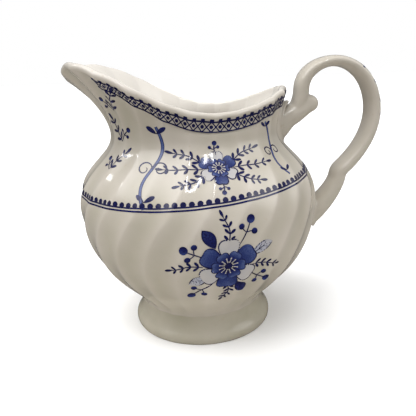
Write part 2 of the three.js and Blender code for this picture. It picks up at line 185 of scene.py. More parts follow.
# %% [markdown]
# ## The bowl's shape
#
# A bowl like this is thrown or cast as a turned form, so up to the neck it could be a lathe. Above the
# neck the wall leaves the circle: the rim swells into a wide pouring spout, sinks at the sides and
# rises again behind. One function of two numbers holds all of it: the angle around the axis, from
# the handle, and a level t that is 0 at the waist, 1 at the belly, 2 at the neck and 3 at the rim.

# %% Sizes of the bowl, in mm
WALL, LIP = 3.2, 2.9
BELLY_RADIUS = (body_high[1] - body_low[1]) / 2
BELLY_HEIGHT = 51.0
FOOT_HEIGHT = body_low[2]
FOOT_RADIUS = (foot_high[0] - foot_low[0]) / 2
WAIST_RADIUS = FOOT_RADIUS - 2.8
NECK_RADIUS, NECK_HEIGHT = 32.2, 78.5
NECK_SHIFT, NECK_PINCH = 0.6, 0.035     # the neck leans to the spout and is a little flattened
RIM_LOW, RIM_LOW_X = NECK_HEIGHT + 8.3, 7.3
BACK_RISE = 7.2                         # rim at the handle, above its lowest point
RIM_BACK = NECK_RADIUS - NECK_SHIFT + 2.4
SPOUT_RISE = 17.6                       # rim at the spout, above its lowest point
SPOUT_REACH = NECK_RADIUS + NECK_SHIFT + 15.2
SPOUT_SPREAD, SPOUT_SWELL, SWELL_POWER = 64.0, 22.0, 2.33
NOSE_DROP, NOSE_SPREAD = 4.6, 13.0
SPOUT_SLOPE, SIDE_SLOPE, BACK_SLOPE = np.radians([38.0, 66.0, 78.0])
BELOW_WAIST, BELOW_BELLY = 0.143, 0.351     # heights of the outline's handles, as shares
ABOVE_BELLY, ABOVE_NECK = 0.596, 0.696
RIM_START_SIDE, RIM_START_SPOUT = 0.42, 0.28    # the flare's handles, as shares of its span
RIM_END_SIDE, RIM_END_SPOUT = 0.36, 0.27
BACK_BEGINS = -0.2                              # cosine of the angle where the back's slope sets in
print("belly", round(2 * BELLY_RADIUS, 1), "mm across, foot", round(2 * FOOT_RADIUS, 1))


# %% Outline and rim
def bowl_outline(t):
    """Radius and height of the turned form: one Bezier from waist to belly, one from belly to neck."""
    lower = [(WAIST_RADIUS, FOOT_HEIGHT), (WAIST_RADIUS, mix(FOOT_HEIGHT, BELLY_HEIGHT, BELOW_WAIST)),
             (BELLY_RADIUS, mix(FOOT_HEIGHT, BELLY_HEIGHT, BELOW_BELLY)), (BELLY_RADIUS, BELLY_HEIGHT)]
    upper = [(BELLY_RADIUS, BELLY_HEIGHT), (BELLY_RADIUS, mix(BELLY_HEIGHT, NECK_HEIGHT, ABOVE_BELLY)),
             (NECK_RADIUS, mix(BELLY_HEIGHT, NECK_HEIGHT, ABOVE_NECK)), (NECK_RADIUS, NECK_HEIGHT)]
    t = np.asarray(t, float)
    return np.where(t[..., None] <= 1, bezier(lower, np.clip(t, 0, 1)), bezier(upper, np.clip(t - 1, 0, 1)))


def from_spout(angle):
    """Angle away from the middle of the spout, in degrees."""
    return np.degrees(np.abs(np.arctan2(np.sin(angle), -np.cos(angle))))


def spout_swell(angle):
    """How much the rim swells towards the spout: exp of minus (angle/spread)^power."""
    return np.exp(-(from_spout(angle) / SPOUT_SPREAD) ** SWELL_POWER)


def rim_point(angle):
    """Top of the lip: an oval, longer at the front, plus the spout's swelling, highest by its nose."""
    c, s = np.cos(angle), np.sin(angle)
    ahead_half = np.where(c > 0, RIM_BACK, SPOUT_REACH - SPOUT_SWELL)
    side_half = NECK_RADIUS * (1 - NECK_PINCH) - SPOUT_SWELL * spout_swell(math.pi / 2)
    radius = 1 / np.hypot(c / ahead_half, s / side_half) + SPOUT_SWELL * spout_swell(angle)
    x = radius * c
    to_spout = np.clip((RIM_LOW_X - x) / (RIM_LOW_X + SPOUT_REACH), 0, 1)
    to_back = np.maximum(0, (x - RIM_LOW_X) / (RIM_BACK - RIM_LOW_X))
    height = (RIM_LOW + SPOUT_RISE * (1 - np.cos(np.pi * to_spout)) / 2 + BACK_RISE * to_back**2
              - NOSE_DROP * np.exp(-(from_spout(angle) / NOSE_SPREAD) ** 2))
    return np.stack([x, radius * s, height], -1)


# %% The smooth outer surface
def smooth_surface(angle, t):
    """Points of the outside without flutes.

    Up to the neck, a circle of the outline's radius, slightly flattened and shifted towards the neck.
    Above it, a Bezier from the neck, leaving it straight up, to the lip, arriving along its slope.
    """
    angle, t = np.broadcast_arrays(np.asarray(angle, float), np.asarray(t, float))
    c, s = np.cos(angle), np.sin(angle)
    radius, height = np.moveaxis(bowl_outline(np.minimum(t, 2)), -1, 0)
    to_neck = fade(height, BELLY_HEIGHT, NECK_HEIGHT)
    turned = np.stack([radius * c - NECK_SHIFT * to_neck,
                       radius * s * (1 - NECK_PINCH * to_neck), height], -1)
    neck = np.stack([NECK_RADIUS * c - NECK_SHIFT, NECK_RADIUS * s * (1 - NECK_PINCH),
                     np.full(c.shape, NECK_HEIGHT)], -1)
    rim = rim_point(angle)
    outward = (rim - neck) * [1, 1, 0]
    reach = np.linalg.norm(outward, axis=-1, keepdims=True) + 1
    radial = np.stack([c, s, np.zeros_like(c)], -1)
    outward = unit(outward + radial * reach)
    spout = spout_swell(angle)
    slope = mix(mix(SIDE_SLOPE, BACK_SLOPE, fade(c, BACK_BEGINS, 1)), SPOUT_SLOPE, spout)[..., None]
    up = np.array([0.0, 0.0, 1.0])
    along = outward * np.cos(slope) + up * np.sin(slope)
    facing = outward * np.sin(slope) - up * np.cos(slope)
    edge = rim + (facing - along) * LIP / 2
    span = np.linalg.norm(edge - neck, axis=-1)[..., None]
    spout = spout[..., None]
    start = span * mix(RIM_START_SIDE, RIM_START_SPOUT, spout)
    end = span * mix(RIM_END_SIDE, RIM_END_SPOUT, spout)
    flared = bezier([neck, neck + up * start, edge - along * end, edge], np.maximum(t - 2, 0))
    return np.where(t[..., None] <= 2, turned, flared)


def smooth_normal(angle, t):
    """Outward normal: the way around crossed with the way up, both by small differences."""
    step = 1e-3
    around = smooth_surface(angle + step, t) - smooth_surface(angle - step, t)
    rise = smooth_surface(angle, np.minimum(t + step, 3)) - smooth_surface(angle, t - step)
    return unit(np.cross(around, rise))


# %% [markdown]
# ## The flutes
#
# The mould gave the wall twenty-four shallow flutes that stand upright at the neck and wind round the
# belly to the foot. A bump texture would give their shading but not the scalloped lip or the uneven
# outline, so they are real: every point is set in along the normal by the depth of its hollow.

# %% Flutes
FLUTES = 24
FLUTE = 2 * math.pi / FLUTES
FLUTE_PHASE = math.radians(-2.3)
FLUTE_DEPTH, FLUTE_DEPTH_NECK, FLUTE_DEPTH_WAIST, FLUTE_DEPTH_RIM = 0.75, 0.35, 0.2, 0.75
FULL_DEPTH_HEIGHT = 0.6 * BELLY_HEIGHT  # above this the hollows have their whole depth
RIDGE_ROUNDING = 0.15
TWIST, TWIST_RISE, TWIST_SPAN = math.radians(25.5), 2.5, 14.5


def twist(height):
    """Turn of the ridges at a height: none at the neck, growing as a tanh step to the whole below."""
    return -TWIST / 2 * (1 - np.tanh((height - BELLY_HEIGHT - TWIST_RISE) / TWIST_SPAN))


def flute_depth(share, height):
    """Depth of the hollow: the hypotenuse of sin(pi share) and a rounding, less the rounding."""
    belly = mix(FLUTE_DEPTH_WAIST, FLUTE_DEPTH, fade(height, FOOT_HEIGHT, FULL_DEPTH_HEIGHT))
    depth = mix(belly, FLUTE_DEPTH_NECK, fade(height, BELLY_HEIGHT, NECK_HEIGHT))
    depth = mix(depth, FLUTE_DEPTH_RIM, fade(height, NECK_HEIGHT, RIM_LOW))
    return depth * (np.hypot(np.sin(np.pi * share), RIDGE_ROUNDING) - RIDGE_ROUNDING)


def unevenness(angle, t):
    """Slow swells of a tenth of a millimetre, as a slip-cast wall has after firing."""
    return (0.06 * np.sin(2 * angle + 1.3 * t) + 0.05 * np.sin(3 * angle - 2.1 * t + 0.7)
            + 0.03 * np.sin(7 * angle + 4.0 * t)) * fade(t, 0, 0.3)


def flute_share(angle, t):
    """Where a point lies across its flute: 0 on one ridge, 1 on the next."""
    level = bowl_outline(np.minimum(t, 2))[..., 1]
    return ((angle - FLUTE_PHASE - twist(level)) / FLUTE) % 1


def jug_surface(angle, t, inset=0.0, fluting=1.0):
    """Fluted surface: the smooth one set in by an inset and a share of the flutes' depth."""
    angle, t = np.broadcast_arrays(np.asarray(angle, float), np.asarray(t, float))
    point = smooth_surface(angle, t)
    depth = inset + fluting * flute_depth(flute_share(angle, t), point[..., 2]) - unevenness(angle, t)
    return point - smooth_normal(angle, t) * depth[..., None]


# %% [markdown]
# ## The body
#
# The bowl is a thin wall with an inside, so the grid goes up the outside, over a half-round lip, down
# the inside and across the floor with a soft cove. The columns follow the ridges, sixteen to a
# flute, so that each ridge and each hollow has its own line of points.

# %% Body
COLUMNS = FLUTES * 16
INSIDE_BOTTOM = 1 / 7                   # level at which the inner wall turns into the floor
LIP_ROWS = 13
COVE_SHARES = (0.98, 0.95, 0.91, 0.86, 0.78, 0.65, 0.45, 0.22)
COVE_POWER = 12                         # the higher, the tighter the cove at the floor's edge
INSIDE_FLUTING = 0.5


def column_angles(t):
    """Angles of the columns at each level, turned with the ridges."""
    level = bowl_outline(np.minimum(t, 2))[..., 1]
    column = np.arange(COLUMNS) / COLUMNS * 2 * np.pi
    return FLUTE_PHASE + column + twist(level)[..., None]


def body_rows():
    """Rows of the wall from the waist outside to the floor inside, and two marks for each point.

    The marks say how deep it lies in a hollow and whether it is on the inside, from 0 to 1.
    """
    up_levels = np.concatenate([np.linspace(0, 1, 41), np.linspace(1, 2, 33)[1:], np.linspace(2, 3, 41)[1:]])
    angles = column_angles(up_levels)
    outside = jug_surface(angles, up_levels[:, None])
    hollow = flute_depth(flute_share(angles, up_levels[:, None]), outside[..., 2]) / FLUTE_DEPTH
    down_levels = np.concatenate([np.linspace(3, 2, 25), np.linspace(2, 1, 21)[1:],
                                  np.linspace(1, INSIDE_BOTTOM, 21)[1:]])
    wall = mix(WALL, LIP, fade(down_levels, 2, 3))[:, None]
    inside = jug_surface(column_angles(down_levels), down_levels[:, None], wall, INSIDE_FLUTING)
    outer, inner = outside[-1], inside[0]
    middle, across = (outer + inner) / 2, (outer - inner) / 2
    edge_angle = column_angles(np.array([3.0]))[0]
    rise = unit(smooth_surface(edge_angle, 3) - smooth_surface(edge_angle, 2.98))
    rise = rise * np.linalg.norm(across, axis=-1, keepdims=True)
    turn = np.linspace(0, np.pi, LIP_ROWS + 2)[1:-1, None, None]
    lip = middle + across * np.cos(turn) + rise * np.sin(turn)
    floor = FOOT_HEIGHT + WALL
    share = np.array(COVE_SHARES)[:, None]
    edge = inside[-1]
    cove = np.stack([edge[:, 0] * share, edge[:, 1] * share,
                     floor + (edge[:, 2] - floor) * share**COVE_POWER], -1)
    rows = np.concatenate([outside, lip, inside, cove])
    hollows, insides = np.zeros((2, *rows.shape[:2]))
    hollows[:len(outside)] = hollow
    insides[len(outside):] = fade(np.arange(len(rows) - len(outside)), 0, len(lip))[:, None]
    return rows, hollows, insides


rows, hollows, insides = body_rows()
jug_body = closed_piece("glazed_body", rows, [[0, 0, FOOT_HEIGHT]], [[0, 0, FOOT_HEIGHT + WALL]],
                        hollow=hollows, inside=insides)
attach(jug_body, "root")
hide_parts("jug_body")

# %% [markdown]
# ## The foot
#
# The foot ring is turned, so it is a profile carried round the axis. It flares from the waist in a
# hollow curve to a rounded edge, stands on a narrow flat ring, glazed here like the rest of the
# foot, and is open underneath. Its top runs a little way up inside the bowl, as the two were stuck
# together wet.

# %% Foot
FOOT_COLUMNS = 240
FOOT_EDGE, FOOT_WALL, BEARING = 2.4, 4.0, 2.6


def foot_profile():
    """Radius and height once round the ring: table, rounded edge, flare, inside top, inner wall."""
    ground = FOOT_RADIUS - FOOT_EDGE / 3
    inner = WAIST_RADIUS - FOOT_WALL
    top = FOOT_HEIGHT + 0.9
    waist = WAIST_RADIUS - 0.12
    t = np.linspace(0, 1, 25)
    table = np.stack([np.linspace(ground - BEARING, ground, 5), np.zeros(5)], -1)
    edge = bezier([(ground, 0), (FOOT_RADIUS - 0.1, 0), (FOOT_RADIUS, 0.5), (FOOT_RADIUS, 1.5)], t[::3])
    shoulder = bezier([(FOOT_RADIUS, 1.5), (FOOT_RADIUS, 2.7), (mix(waist, FOOT_RADIUS, 0.82), 3.3),
                       (mix(waist, FOOT_RADIUS, 0.6), 4.2)], t[::2])
    flare = bezier([(mix(waist, FOOT_RADIUS, 0.6), 4.2), (mix(waist, FOOT_RADIUS, 0.33), 5.4),
                    (waist, 7.0), (waist, FOOT_HEIGHT)], t)
    hidden = np.array([(waist - 0.5, top), (mix(inner, waist, 0.5), top), (inner, top)])
    wall = bezier([(inner, top), (inner, 6), (inner + 1, 1.2), (ground - BEARING - 0.3, 0.15)], t)
    return np.concatenate([table, edge[1:], shoulder[1:], flare[1:], hidden, wall[1:]])


def revolved(name, profile, columns):
    """A closed profile of (radius, height) carried once around the axis, a thousandth out of round."""
    angle = np.arange(columns) / columns * 2 * np.pi
    radius, height = profile[:, 0, None], profile[:, 1, None]
    swell = 1 + 0.0012 * np.sin(2 * angle + 0.5) + 0.0008 * np.sin(5 * angle)
    rows = np.stack([radius * np.cos(angle) * swell, radius * np.sin(angle) * swell,
                     height + 0 * angle], -1)
    return make_piece(name, rows, ring_faces(len(profile), columns))


foot = revolved("glazed_foot", foot_profile(), FOOT_COLUMNS)
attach(foot, "root")
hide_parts("foot_ring")

# %% [markdown]
# ## The handle
#
# The handle has the form of a flat strap of clay pulled wet and bent over in a loop, with a second
# short arm that ends in a curled thumb spur; on moulded ware it is cast in that form. Where strap,
# arm and spur run together they are soft. Three swept sections are laid through each other here,
# remeshed as one skin and smoothed, which rounds the crotches between them.

# %% Sizes of the handle, in mm
HANDLE_TOP = handle_high[2]
UPPER_JOINT, LOWER_JOINT = NECK_HEIGHT + 1, BELLY_HEIGHT - 8.8
STRAP_WIDTH, STRAP_THICKNESS, ARM_DEPTH = 13.0, 4.6, 12.4
SPUR_RADIUS, SPUR_WIDTH = 3.3, 10.5
SPUR = np.array([NECK_RADIUS + 12, NECK_HEIGHT + 8.4])
SPRING_OUT, CROWN_OUT = 8.9, 20.9       # where the loop leaves the arm, and its crown, from the neck
LOOP_REACH = handle_high[0] - AXIS_X
LOOP_REACH_HEIGHT = NECK_HEIGHT + 4.5
KNUCKLE = (12.9, 19.4)                  # knuckle of the tail, from the belly's joint
BEDDED = 0.6 * WALL
STRAP_SIDES = 40
STEP_ALONG = 0.8
SQUARENESS = 0.85                       # 1 is an ellipse, less is squarer


def stretch(curve, start, end):
    """Points evenly along one stretch, with width and thickness eased from one end to the other."""
    fine = curve(np.linspace(0, 1, 400))
    run = np.concatenate([[0], np.cumsum(np.linalg.norm(np.diff(fine, axis=0), axis=-1))])
    count = max(3, int(run[-1] / STEP_ALONG) + 1)
    at = np.linspace(0, run[-1], count)
    points = np.stack([np.interp(at, run, fine[:, 0]), np.interp(at, run, fine[:, 1])], -1)
    share = fade(at, 0, run[-1])[:, None]
    return np.hstack([points, mix(np.array(start, float), np.array(end, float), share)])


def arc(centre, half_sizes, start, end):
    """A stretch of an ellipse, its turn going evenly from start to end in degrees."""
    return lambda t: np.asarray(centre) + np.stack(
        [half_sizes[0] * np.cos(np.radians(mix(start, end, t))),
         half_sizes[1] * np.sin(np.radians(mix(start, end, t)))], -1)


def cubic(*points):
    """A Bezier through its four points, as a stretch."""
    return lambda t: bezier(points, t)


def squared_circle(turn):
    """Cosine and sine to the power of the squareness, with their signs kept."""
    c, s = np.cos(turn), np.sin(turn)
    return np.sign(c) * np.abs(c) ** SQUARENESS, np.sign(s) * np.abs(s) ** SQUARENESS


def strap_rows(line):
    """Rounded sections that stand square to the line."""
    heading = unit(np.gradient(line[:, :2], axis=0))
    out, across = squared_circle(np.arange(STRAP_SIDES) / STRAP_SIDES * 2 * np.pi)
    width, thickness = line[:, 2, None], line[:, 3, None]
    x = line[:, 0, None] + heading[:, 1, None] * out * thickness / 2
    z = line[:, 1, None] - heading[:, 0, None] * out * thickness / 2
    return np.stack([x, across * width / 2, z], -1)


def bowl_radius(height):
    """Radius of the bowl's outline at a height, read back from a fine table of it."""
    table = bowl_outline(np.linspace(0, 2, 2001))
    return float(np.interp(height, table[:, 1], table[:, 0]))


# %% Lines of the handle
def joined(stretches):
    """Stretches one after another, each shared end point kept once."""
    return np.vstack([stretches[0]] + [s[1:] for s in stretches[1:]])


def arm_line():
    """From inside the neck's wall, thick, to the spur."""
    neck = np.array([NECK_RADIUS - BEDDED, UPPER_JOINT - BEDDED / 2])
    bend = (neck + SPUR) / 2
    sections = [(STRAP_WIDTH + 1.5, ARM_DEPTH), (STRAP_WIDTH - 0.5, mix(ARM_DEPTH, 2 * SPUR_RADIUS, 0.75)),
                (SPUR_WIDTH, 2 * SPUR_RADIUS)]
    return joined([
        stretch(cubic(neck, bend - [2, 1.2], bend - [1, 0.4], bend), sections[0], sections[1]),
        stretch(cubic(bend, bend + [1, 0.5], SPUR - [2, 1], SPUR), sections[1], sections[2])])


def loop_line():
    """Up out of the arm, over the crown, down to the knuckle and along the tail into the belly."""
    start = np.array([NECK_RADIUS + 3, UPPER_JOINT + 1.5])
    spring = np.array([NECK_RADIUS + SPRING_OUT, mix(UPPER_JOINT, HANDLE_TOP, 0.52)])
    crown = np.array([NECK_RADIUS + CROWN_OUT, HANDLE_TOP - 0.45 * STRAP_THICKNESS])
    reach = np.array([LOOP_REACH - STRAP_THICKNESS / 2, LOOP_REACH_HEIGHT])
    belly = np.array([bowl_radius(LOWER_JOINT), LOWER_JOINT])
    knuckle = belly + KNUCKLE
    elbow = knuckle - [1.9, 2.9]
    fall = reach[1] - knuckle[1]
    thick = STRAP_THICKNESS * np.array([1, 1.18, 0.9, 1, 1.2, 1.3, 1.75, 2.1])
    wide = STRAP_WIDTH + np.array([-2, -1, 0, 0, -1, -2, 0, 1])
    sections = np.stack([wide, thick], -1)
    curves = [
        cubic(start, (spring[0] - 3, mix(start[1], spring[1], 0.2)),
              (spring[0], mix(start[1], spring[1], 0.55)), spring),
        arc((crown[0], spring[1]), (crown[0] - spring[0], crown[1] - spring[1]), 180, 90),
        arc((crown[0], reach[1]), (reach[0] - crown[0], crown[1] - reach[1]), 90, 0),
        cubic(reach, reach - [0, 0.41 * fall], knuckle + fall * np.array([0.24, 0.23]), knuckle),
        cubic(knuckle, mix(knuckle, elbow + [0.3, 1.6], 0.67), mix(elbow, elbow + [0.3, 1.6], 0.67), elbow),
        cubic(elbow, (elbow[0] - 0.4, mix(belly[1], elbow[1], 0.68)), belly + [4.5, 4], belly),
        cubic(belly, belly - [0.6, 0.55], belly - [1.2, 1.1], belly - [BEDDED, 0.9 * BEDDED])]
    return joined([stretch(c, sections[i], sections[i + 1]) for i, c in enumerate(curves)])


def spur_rows():
    """A roll lying across the strap, its radius going with the sine of its turn to a low power."""
    half = SPUR_WIDTH / 2
    t = np.linspace(0, np.pi, 25)[1:-1]
    radius = SPUR_RADIUS * np.sin(t) ** 0.45
    across = -half * np.cos(t)
    turn = np.arange(STRAP_SIDES) / STRAP_SIDES * 2 * np.pi
    return np.stack([SPUR[0] + radius[:, None] * np.cos(turn), across[:, None] + 0 * turn,
                     SPUR[1] - radius[:, None] * np.sin(turn)], -1)


# %% Remesh the handle as one skin
SKIN_VOXEL = 0.42
SKIN_SMOOTHING = 10


def finished(piece):
    """The piece with its modifiers worked into its mesh."""
    graph = bpy.context.evaluated_depsgraph_get()
    mesh = bpy.data.meshes.new_from_object(piece.evaluated_get(graph))
    piece.modifiers.clear()
    old = piece.data
    piece.data = mesh
    bpy.data.meshes.remove(old)
    mesh.name = piece.name
    mesh.polygons.foreach_set("use_smooth", np.ones(len(mesh.polygons), bool))
    return piece


def swept(rows):
    """Points and faces of rows closed at both ends by their middles."""
    points = np.vstack([rows.reshape(-1, 3), rows[0].mean(0), rows[-1].mean(0)])
    return points, capped_faces(*rows.shape[:2])


def merged(parts):
    """Several lots of points and faces as one."""
    points, faces, offset = [], [], 0
    for part_points, part_faces in parts:
        points.append(part_points)
        faces += [[corner + offset for corner in face] for face in part_faces]
        offset += len(part_points)
    return np.vstack(points), faces


arm, loop = arm_line(), loop_line()
handle = make_piece("pulled_handle", *merged([swept(strap_rows(arm)), swept(strap_rows(loop)),
                                              swept(spur_rows())]))
skin = handle.modifiers.new("skin", "REMESH")
skin.mode, skin.voxel_size = "VOXEL", SKIN_VOXEL * MM
finger = handle.modifiers.new("finger", "SMOOTH")
finger.factor, finger.iterations = 0.5, SKIN_SMOOTHING
finished(handle)
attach(handle, "root")
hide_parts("handle")
print("handle skin:", len(handle.data.polygons), "faces")

# %% [markdown]
# ## The slip joints
#
# Handle and body are stuck together with liquid clay. What squeezes out is wiped with a wet finger
# into a hollow fillet all round the joint, and glaze fills it further. Each fillet is a band: from
# every point around the handle's end it runs in a quarter circle from the strap to the wall.

# %% Slip fillets
FILLET_SIDES, FILLET_STEPS = 96, 9
OUT_OF_WALL = 12                        # rays start this far back along the strap
FEATHER, CLEAR = 0.03, 0.06             # the fillet's edge and its first row, above the glaze
SUNK_EDGE, SUNK_WALL = 0.4, 0.6         # how deep its hidden rows lie in the wall
SUNK_STRAP = 0.7                        # and in the strap


def wall_finder():
    """A search tree over the body, in millimetres around the axis."""
    mesh = jug_body.data
    co = np.empty(len(mesh.vertices) * 3)
    mesh.vertices.foreach_get("co", co)
    points = co.reshape(-1, 3) / MM - [AXIS_X, 0, 0]
    return BVHTree.FromPolygons(points.tolist(), [list(p.vertices) for p in mesh.polygons])


wall = wall_finder()


def on_wall(points, height=0.0):
    """The nearest points of the body, raised along its normal, and the normals there."""
    found = [wall.find_nearest(p) for p in points.reshape(-1, 3).tolist()]
    near = np.array([f[0] for f in found]).reshape(points.shape)
    normals = np.array([f[1] for f in found]).reshape(points.shape)
    return near + normals * height, normals


def slip_fillet(name, line, at, radius):
    """A hollow fillet around the strap where its line meets the wall.

    Each side line of the strap is followed back to the wall; from there the fillet is the quarter
    circle base + out r(1-sin) + back r(1-cos), out along the wall and back along the strap.
    """
    heading = unit(line[at + 1, :2] - line[at - 1, :2])
    width, thickness = line[at, 2], line[at, 3]
    turn = np.arange(FILLET_SIDES) / FILLET_SIDES * 2 * np.pi
    out, across = squared_circle(turn)
    back = np.array([heading[0], 0, heading[1]])
    if back[0] < 0:
        back = -back
    # an ellipse's outward direction has its two half widths exchanged
    side = np.stack([heading[1] * np.cos(turn) * width, np.sin(turn) * thickness,
                     -heading[0] * np.cos(turn) * width], -1)
    ring = np.array([line[at, 0], 0, line[at, 1]]) + np.stack(
        [heading[1] * out * thickness / 2, across * width / 2, -heading[0] * out * thickness / 2], -1)
    base = []
    for start in (ring + back * OUT_OF_WALL).tolist():
        hit = wall.ray_cast(start, (-back).tolist())[0]
        base.append(hit if hit is not None else wall.find_nearest(start)[0])
    base = np.array(base)
    _, normals = on_wall(base)
    side = unit(side)
    outward = unit(side - normals * np.sum(side * normals, -1, keepdims=True))
    bend = np.linspace(0, np.pi / 2, FILLET_STEPS)[:, None, None]
    rows = base + outward * radius * (1 - np.sin(bend)) + back * radius * (1 - np.cos(bend))
    rows[0], _ = on_wall(rows[0], FEATHER)
    near, lift_normals = on_wall(rows[1])
    above = np.sum((rows[1] - near) * lift_normals, -1, keepdims=True)
    rows[1] = near + lift_normals * np.maximum(above, CLEAR)
    inside_strap = rows[-1] - side * SUNK_STRAP + back * 0.2
    inside_wall, _ = on_wall(base - outward * 0.4, -SUNK_WALL)
    edge_sunk, _ = on_wall(rows[0] - outward * 0.3, -SUNK_EDGE)
    rows = np.concatenate([edge_sunk[None], rows, inside_strap[None], inside_wall[None]])
    piece = make_piece(name, rows, ring_faces(len(rows), FILLET_SIDES))
    piece.data.update()
    shell = bmesh.new()
    shell.from_mesh(piece.data)
    bmesh.ops.recalc_face_normals(shell, faces=shell.faces)
    shell.to_mesh(piece.data)
    shell.free()
    return piece


upper_fillet = slip_fillet("upper_slip_fillet", arm, 3, 2.6)
lower_fillet = slip_fillet("lower_slip_fillet", loop, len(loop) - 5, 2.2)
for fillet, node in [(upper_fillet, "upper_slip_joint"), (lower_fillet, "lower_slip_joint")]:
    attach(fillet, "root")
    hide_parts(node)

# %% [markdown]
# ## Materials
#
# Everything on the jug lies under one glaze, so all finishes share its gloss and differ in what is
# under it. Colours are written as the hex values that a paint chart would give.


# %% Colour and node tools
def linear(hex_colour):
    """An sRGB hex colour as the linear values that shaders use."""
    parts = np.array([int(hex_colour[i:i + 2], 16) for i in (1, 3, 5)]) / 255
    light = np.where(parts <= 0.04045, parts / 12.92, ((parts + 0.055) / 1.055) ** 2.4)
    return (*light.tolist(), 1.0)


def add_node(tree, kind, inputs=None, **settings):
    """One node with its settings; each input is a value or a socket to link from."""
    node = tree.nodes.new(kind)
    for key, value in settings.items():
        setattr(node, key, value)
    for key, value in (inputs or {}).items():
        if isinstance(value, bpy.types.NodeSocket):
            tree.links.new(value, node.inputs[key])
        else:
            node.inputs[key].default_value = value
    return node


def new_material(name):
    """An empty node material and its tree."""
    material = bpy.data.materials.new(name)
    material.use_nodes = True
    material.node_tree.nodes.clear()
    return material, material.node_tree


def per_mm(size):
    """Noise scale that gives patches of about this many millimetres, on metre coordinates."""
    return 1 / (size * MM)


# %% [markdown]
# ### Glazed earthenware
#
# Cream clay under a clear glaze, fired glossy. The glaze is thin on the ridges, where the
# clay shows warm, and pools in the hollows and at the foot, where its green-grey cast shows. The
# surface reflects sharply but is never quite flat: it has slow ripples and a few pinholes.

# %% Glaze
# Painted light: the inside gets a lighter glaze colour than the outside, a painted brightness in place of the
# light inside the bowl.
INSIDE_PAINTED_LIGHT_GLAZE = "#dfdad2"                 # for the inside, without the pooled tint


def glazed_clay(name, warm, pooled, cloud_mm, marked=False):
    """Clear glossy glaze over cream clay, between a warm and a pooled colour.

    A marked piece is more pooled in the hollows of the flutes and is painted lighter on the inside, a painted
    brightness that stands in for the light inside the bowl.
    """
    material, tree = new_material(name)
    place = add_node(tree, "ShaderNodeTexCoord").outputs["Object"]
    cloud = add_node(tree, "ShaderNodeTexNoise", {"Vector": place, "Scale": per_mm(cloud_mm),
                                                  "Detail": 3.0, "Roughness": 0.55}).outputs["Fac"]
    share = cloud
    if marked:
        hollow = add_node(tree, "ShaderNodeAttribute", attribute_name="hollow").outputs["Fac"]
        share = add_node(tree, "ShaderNodeMath", {0: hollow, 1: 0.3, 2: cloud},
                         operation="MULTIPLY_ADD").outputs[0]
    tint = add_node(tree, "ShaderNodeValToRGB", {"Fac": share})
    tint.color_ramp.elements[0].position, tint.color_ramp.elements[0].color = 0.35, linear(warm)
    tint.color_ramp.elements[1].position, tint.color_ramp.elements[1].color = 0.95, linear(pooled)
    colour = tint.outputs["Color"]
    # painted light: the inside mark mixes the lighter inside colour over the glaze, brightening the inner
    # wall and lip
    if marked:
        inside = add_node(tree, "ShaderNodeAttribute", attribute_name="inside").outputs["Fac"]
        colour = add_node(tree, "ShaderNodeMix", {0: inside, 6: colour, 7: linear(INSIDE_PAINTED_LIGHT_GLAZE)},
                          data_type="RGBA").outputs[2]
    speck = add_node(tree, "ShaderNodeTexNoise", {"Vector": place, "Scale": per_mm(1.6), "Detail": 1.0})
    speck_share = add_node(tree, "ShaderNodeMapRange",
                           {"Value": speck.outputs["Fac"], "From Min": 0.70, "From Max": 0.78,
                            "To Min": 0.0, "To Max": 0.25})
    clay = add_node(tree, "ShaderNodeMix", {0: speck_share.outputs[0], 6: colour, 7: linear("#b5a68c")},
                    data_type="RGBA")
    ripple = add_node(tree, "ShaderNodeTexNoise", {"Vector": place, "Scale": per_mm(5), "Detail": 2.0})
    bump = add_node(tree, "ShaderNodeBump", {"Height": ripple.outputs["Fac"], "Strength": 0.08,
                                             "Distance": 0.25 * MM})
    gloss = add_node(tree, "ShaderNodeMapRange", {"Value": cloud, "To Min": 0.05, "To Max": 0.11})
    shader = add_node(tree, "ShaderNodeBsdfPrincipled",
                      {"Base Color": clay.outputs[2], "Roughness": gloss.outputs[0],
                       "Normal": bump.outputs["Normal"], "IOR": 1.5})
    add_node(tree, "ShaderNodeOutputMaterial", {"Surface": shader.outputs["BSDF"]})
    return material


body_glaze = glazed_clay("glazed_cream_earthenware", "#c6bfb5", "#b2ac9d", 22, marked=True)
foot_glaze = glazed_clay("glaze_pooled_on_foot", "#bbb5a6", "#a49f8b", 14)
handle_glaze = glazed_clay("glazed_pulled_clay", "#c3bcb1", "#b2ac9e", 18)
for piece, glaze in [(jug_body, body_glaze), (foot, foot_glaze), (handle, handle_glaze),
                     (upper_fillet, handle_glaze), (lower_fillet, handle_glaze)]:
    piece.data.materials.append(glaze)
print("glazes:", body_glaze.name, foot_glaze.name, handle_glaze.name)

# %% [markdown]
# ## Laying a print on the jug
#
# The pattern is a transfer: a tissue printed with cobalt ink, rubbed onto the clay before glazing.
# It could be painted in the material, but the thinnest lines are a third of a millimetre, finer than
# any attribute of the body's mesh. So every stroke is a thin closed sheet of its own that follows the
# fluted surface. A place on the jug is an angle and a run, the distance up the wall from the belly.

# %% Angle and run
ANGLE_STEPS, LEVEL_STEPS, RUN_STEP = 720, 200, 0.1      # levels from one whole level to the next
FRONT_ENTRY = ANGLE_STEPS * 3 // 4                      # three quarters round is the front
TABLE_ANGLES = np.linspace(0, 2 * np.pi, ANGLE_STEPS + 1)
TABLE_LEVELS = np.linspace(0, 3, 3 * LEVEL_STEPS + 1)
TABLE_RUNS = np.arange(-60, 75, RUN_STEP)
table_points = smooth_surface(TABLE_ANGLES[:, None], TABLE_LEVELS)
table_steps = np.linalg.norm(np.diff(table_points, axis=1), axis=-1)
wall_runs = np.concatenate([np.zeros((ANGLE_STEPS + 1, 1)), np.cumsum(table_steps, 1)], 1)
wall_runs -= wall_runs[:, LEVEL_STEPS:LEVEL_STEPS + 1]
run_to_level = np.array([np.interp(TABLE_RUNS, row, TABLE_LEVELS) for row in wall_runs])
rim_runs = wall_runs[:, -1]
print("at the front the lip lies", round(float(rim_runs[FRONT_ENTRY]), 1), "mm up the wall from the belly")


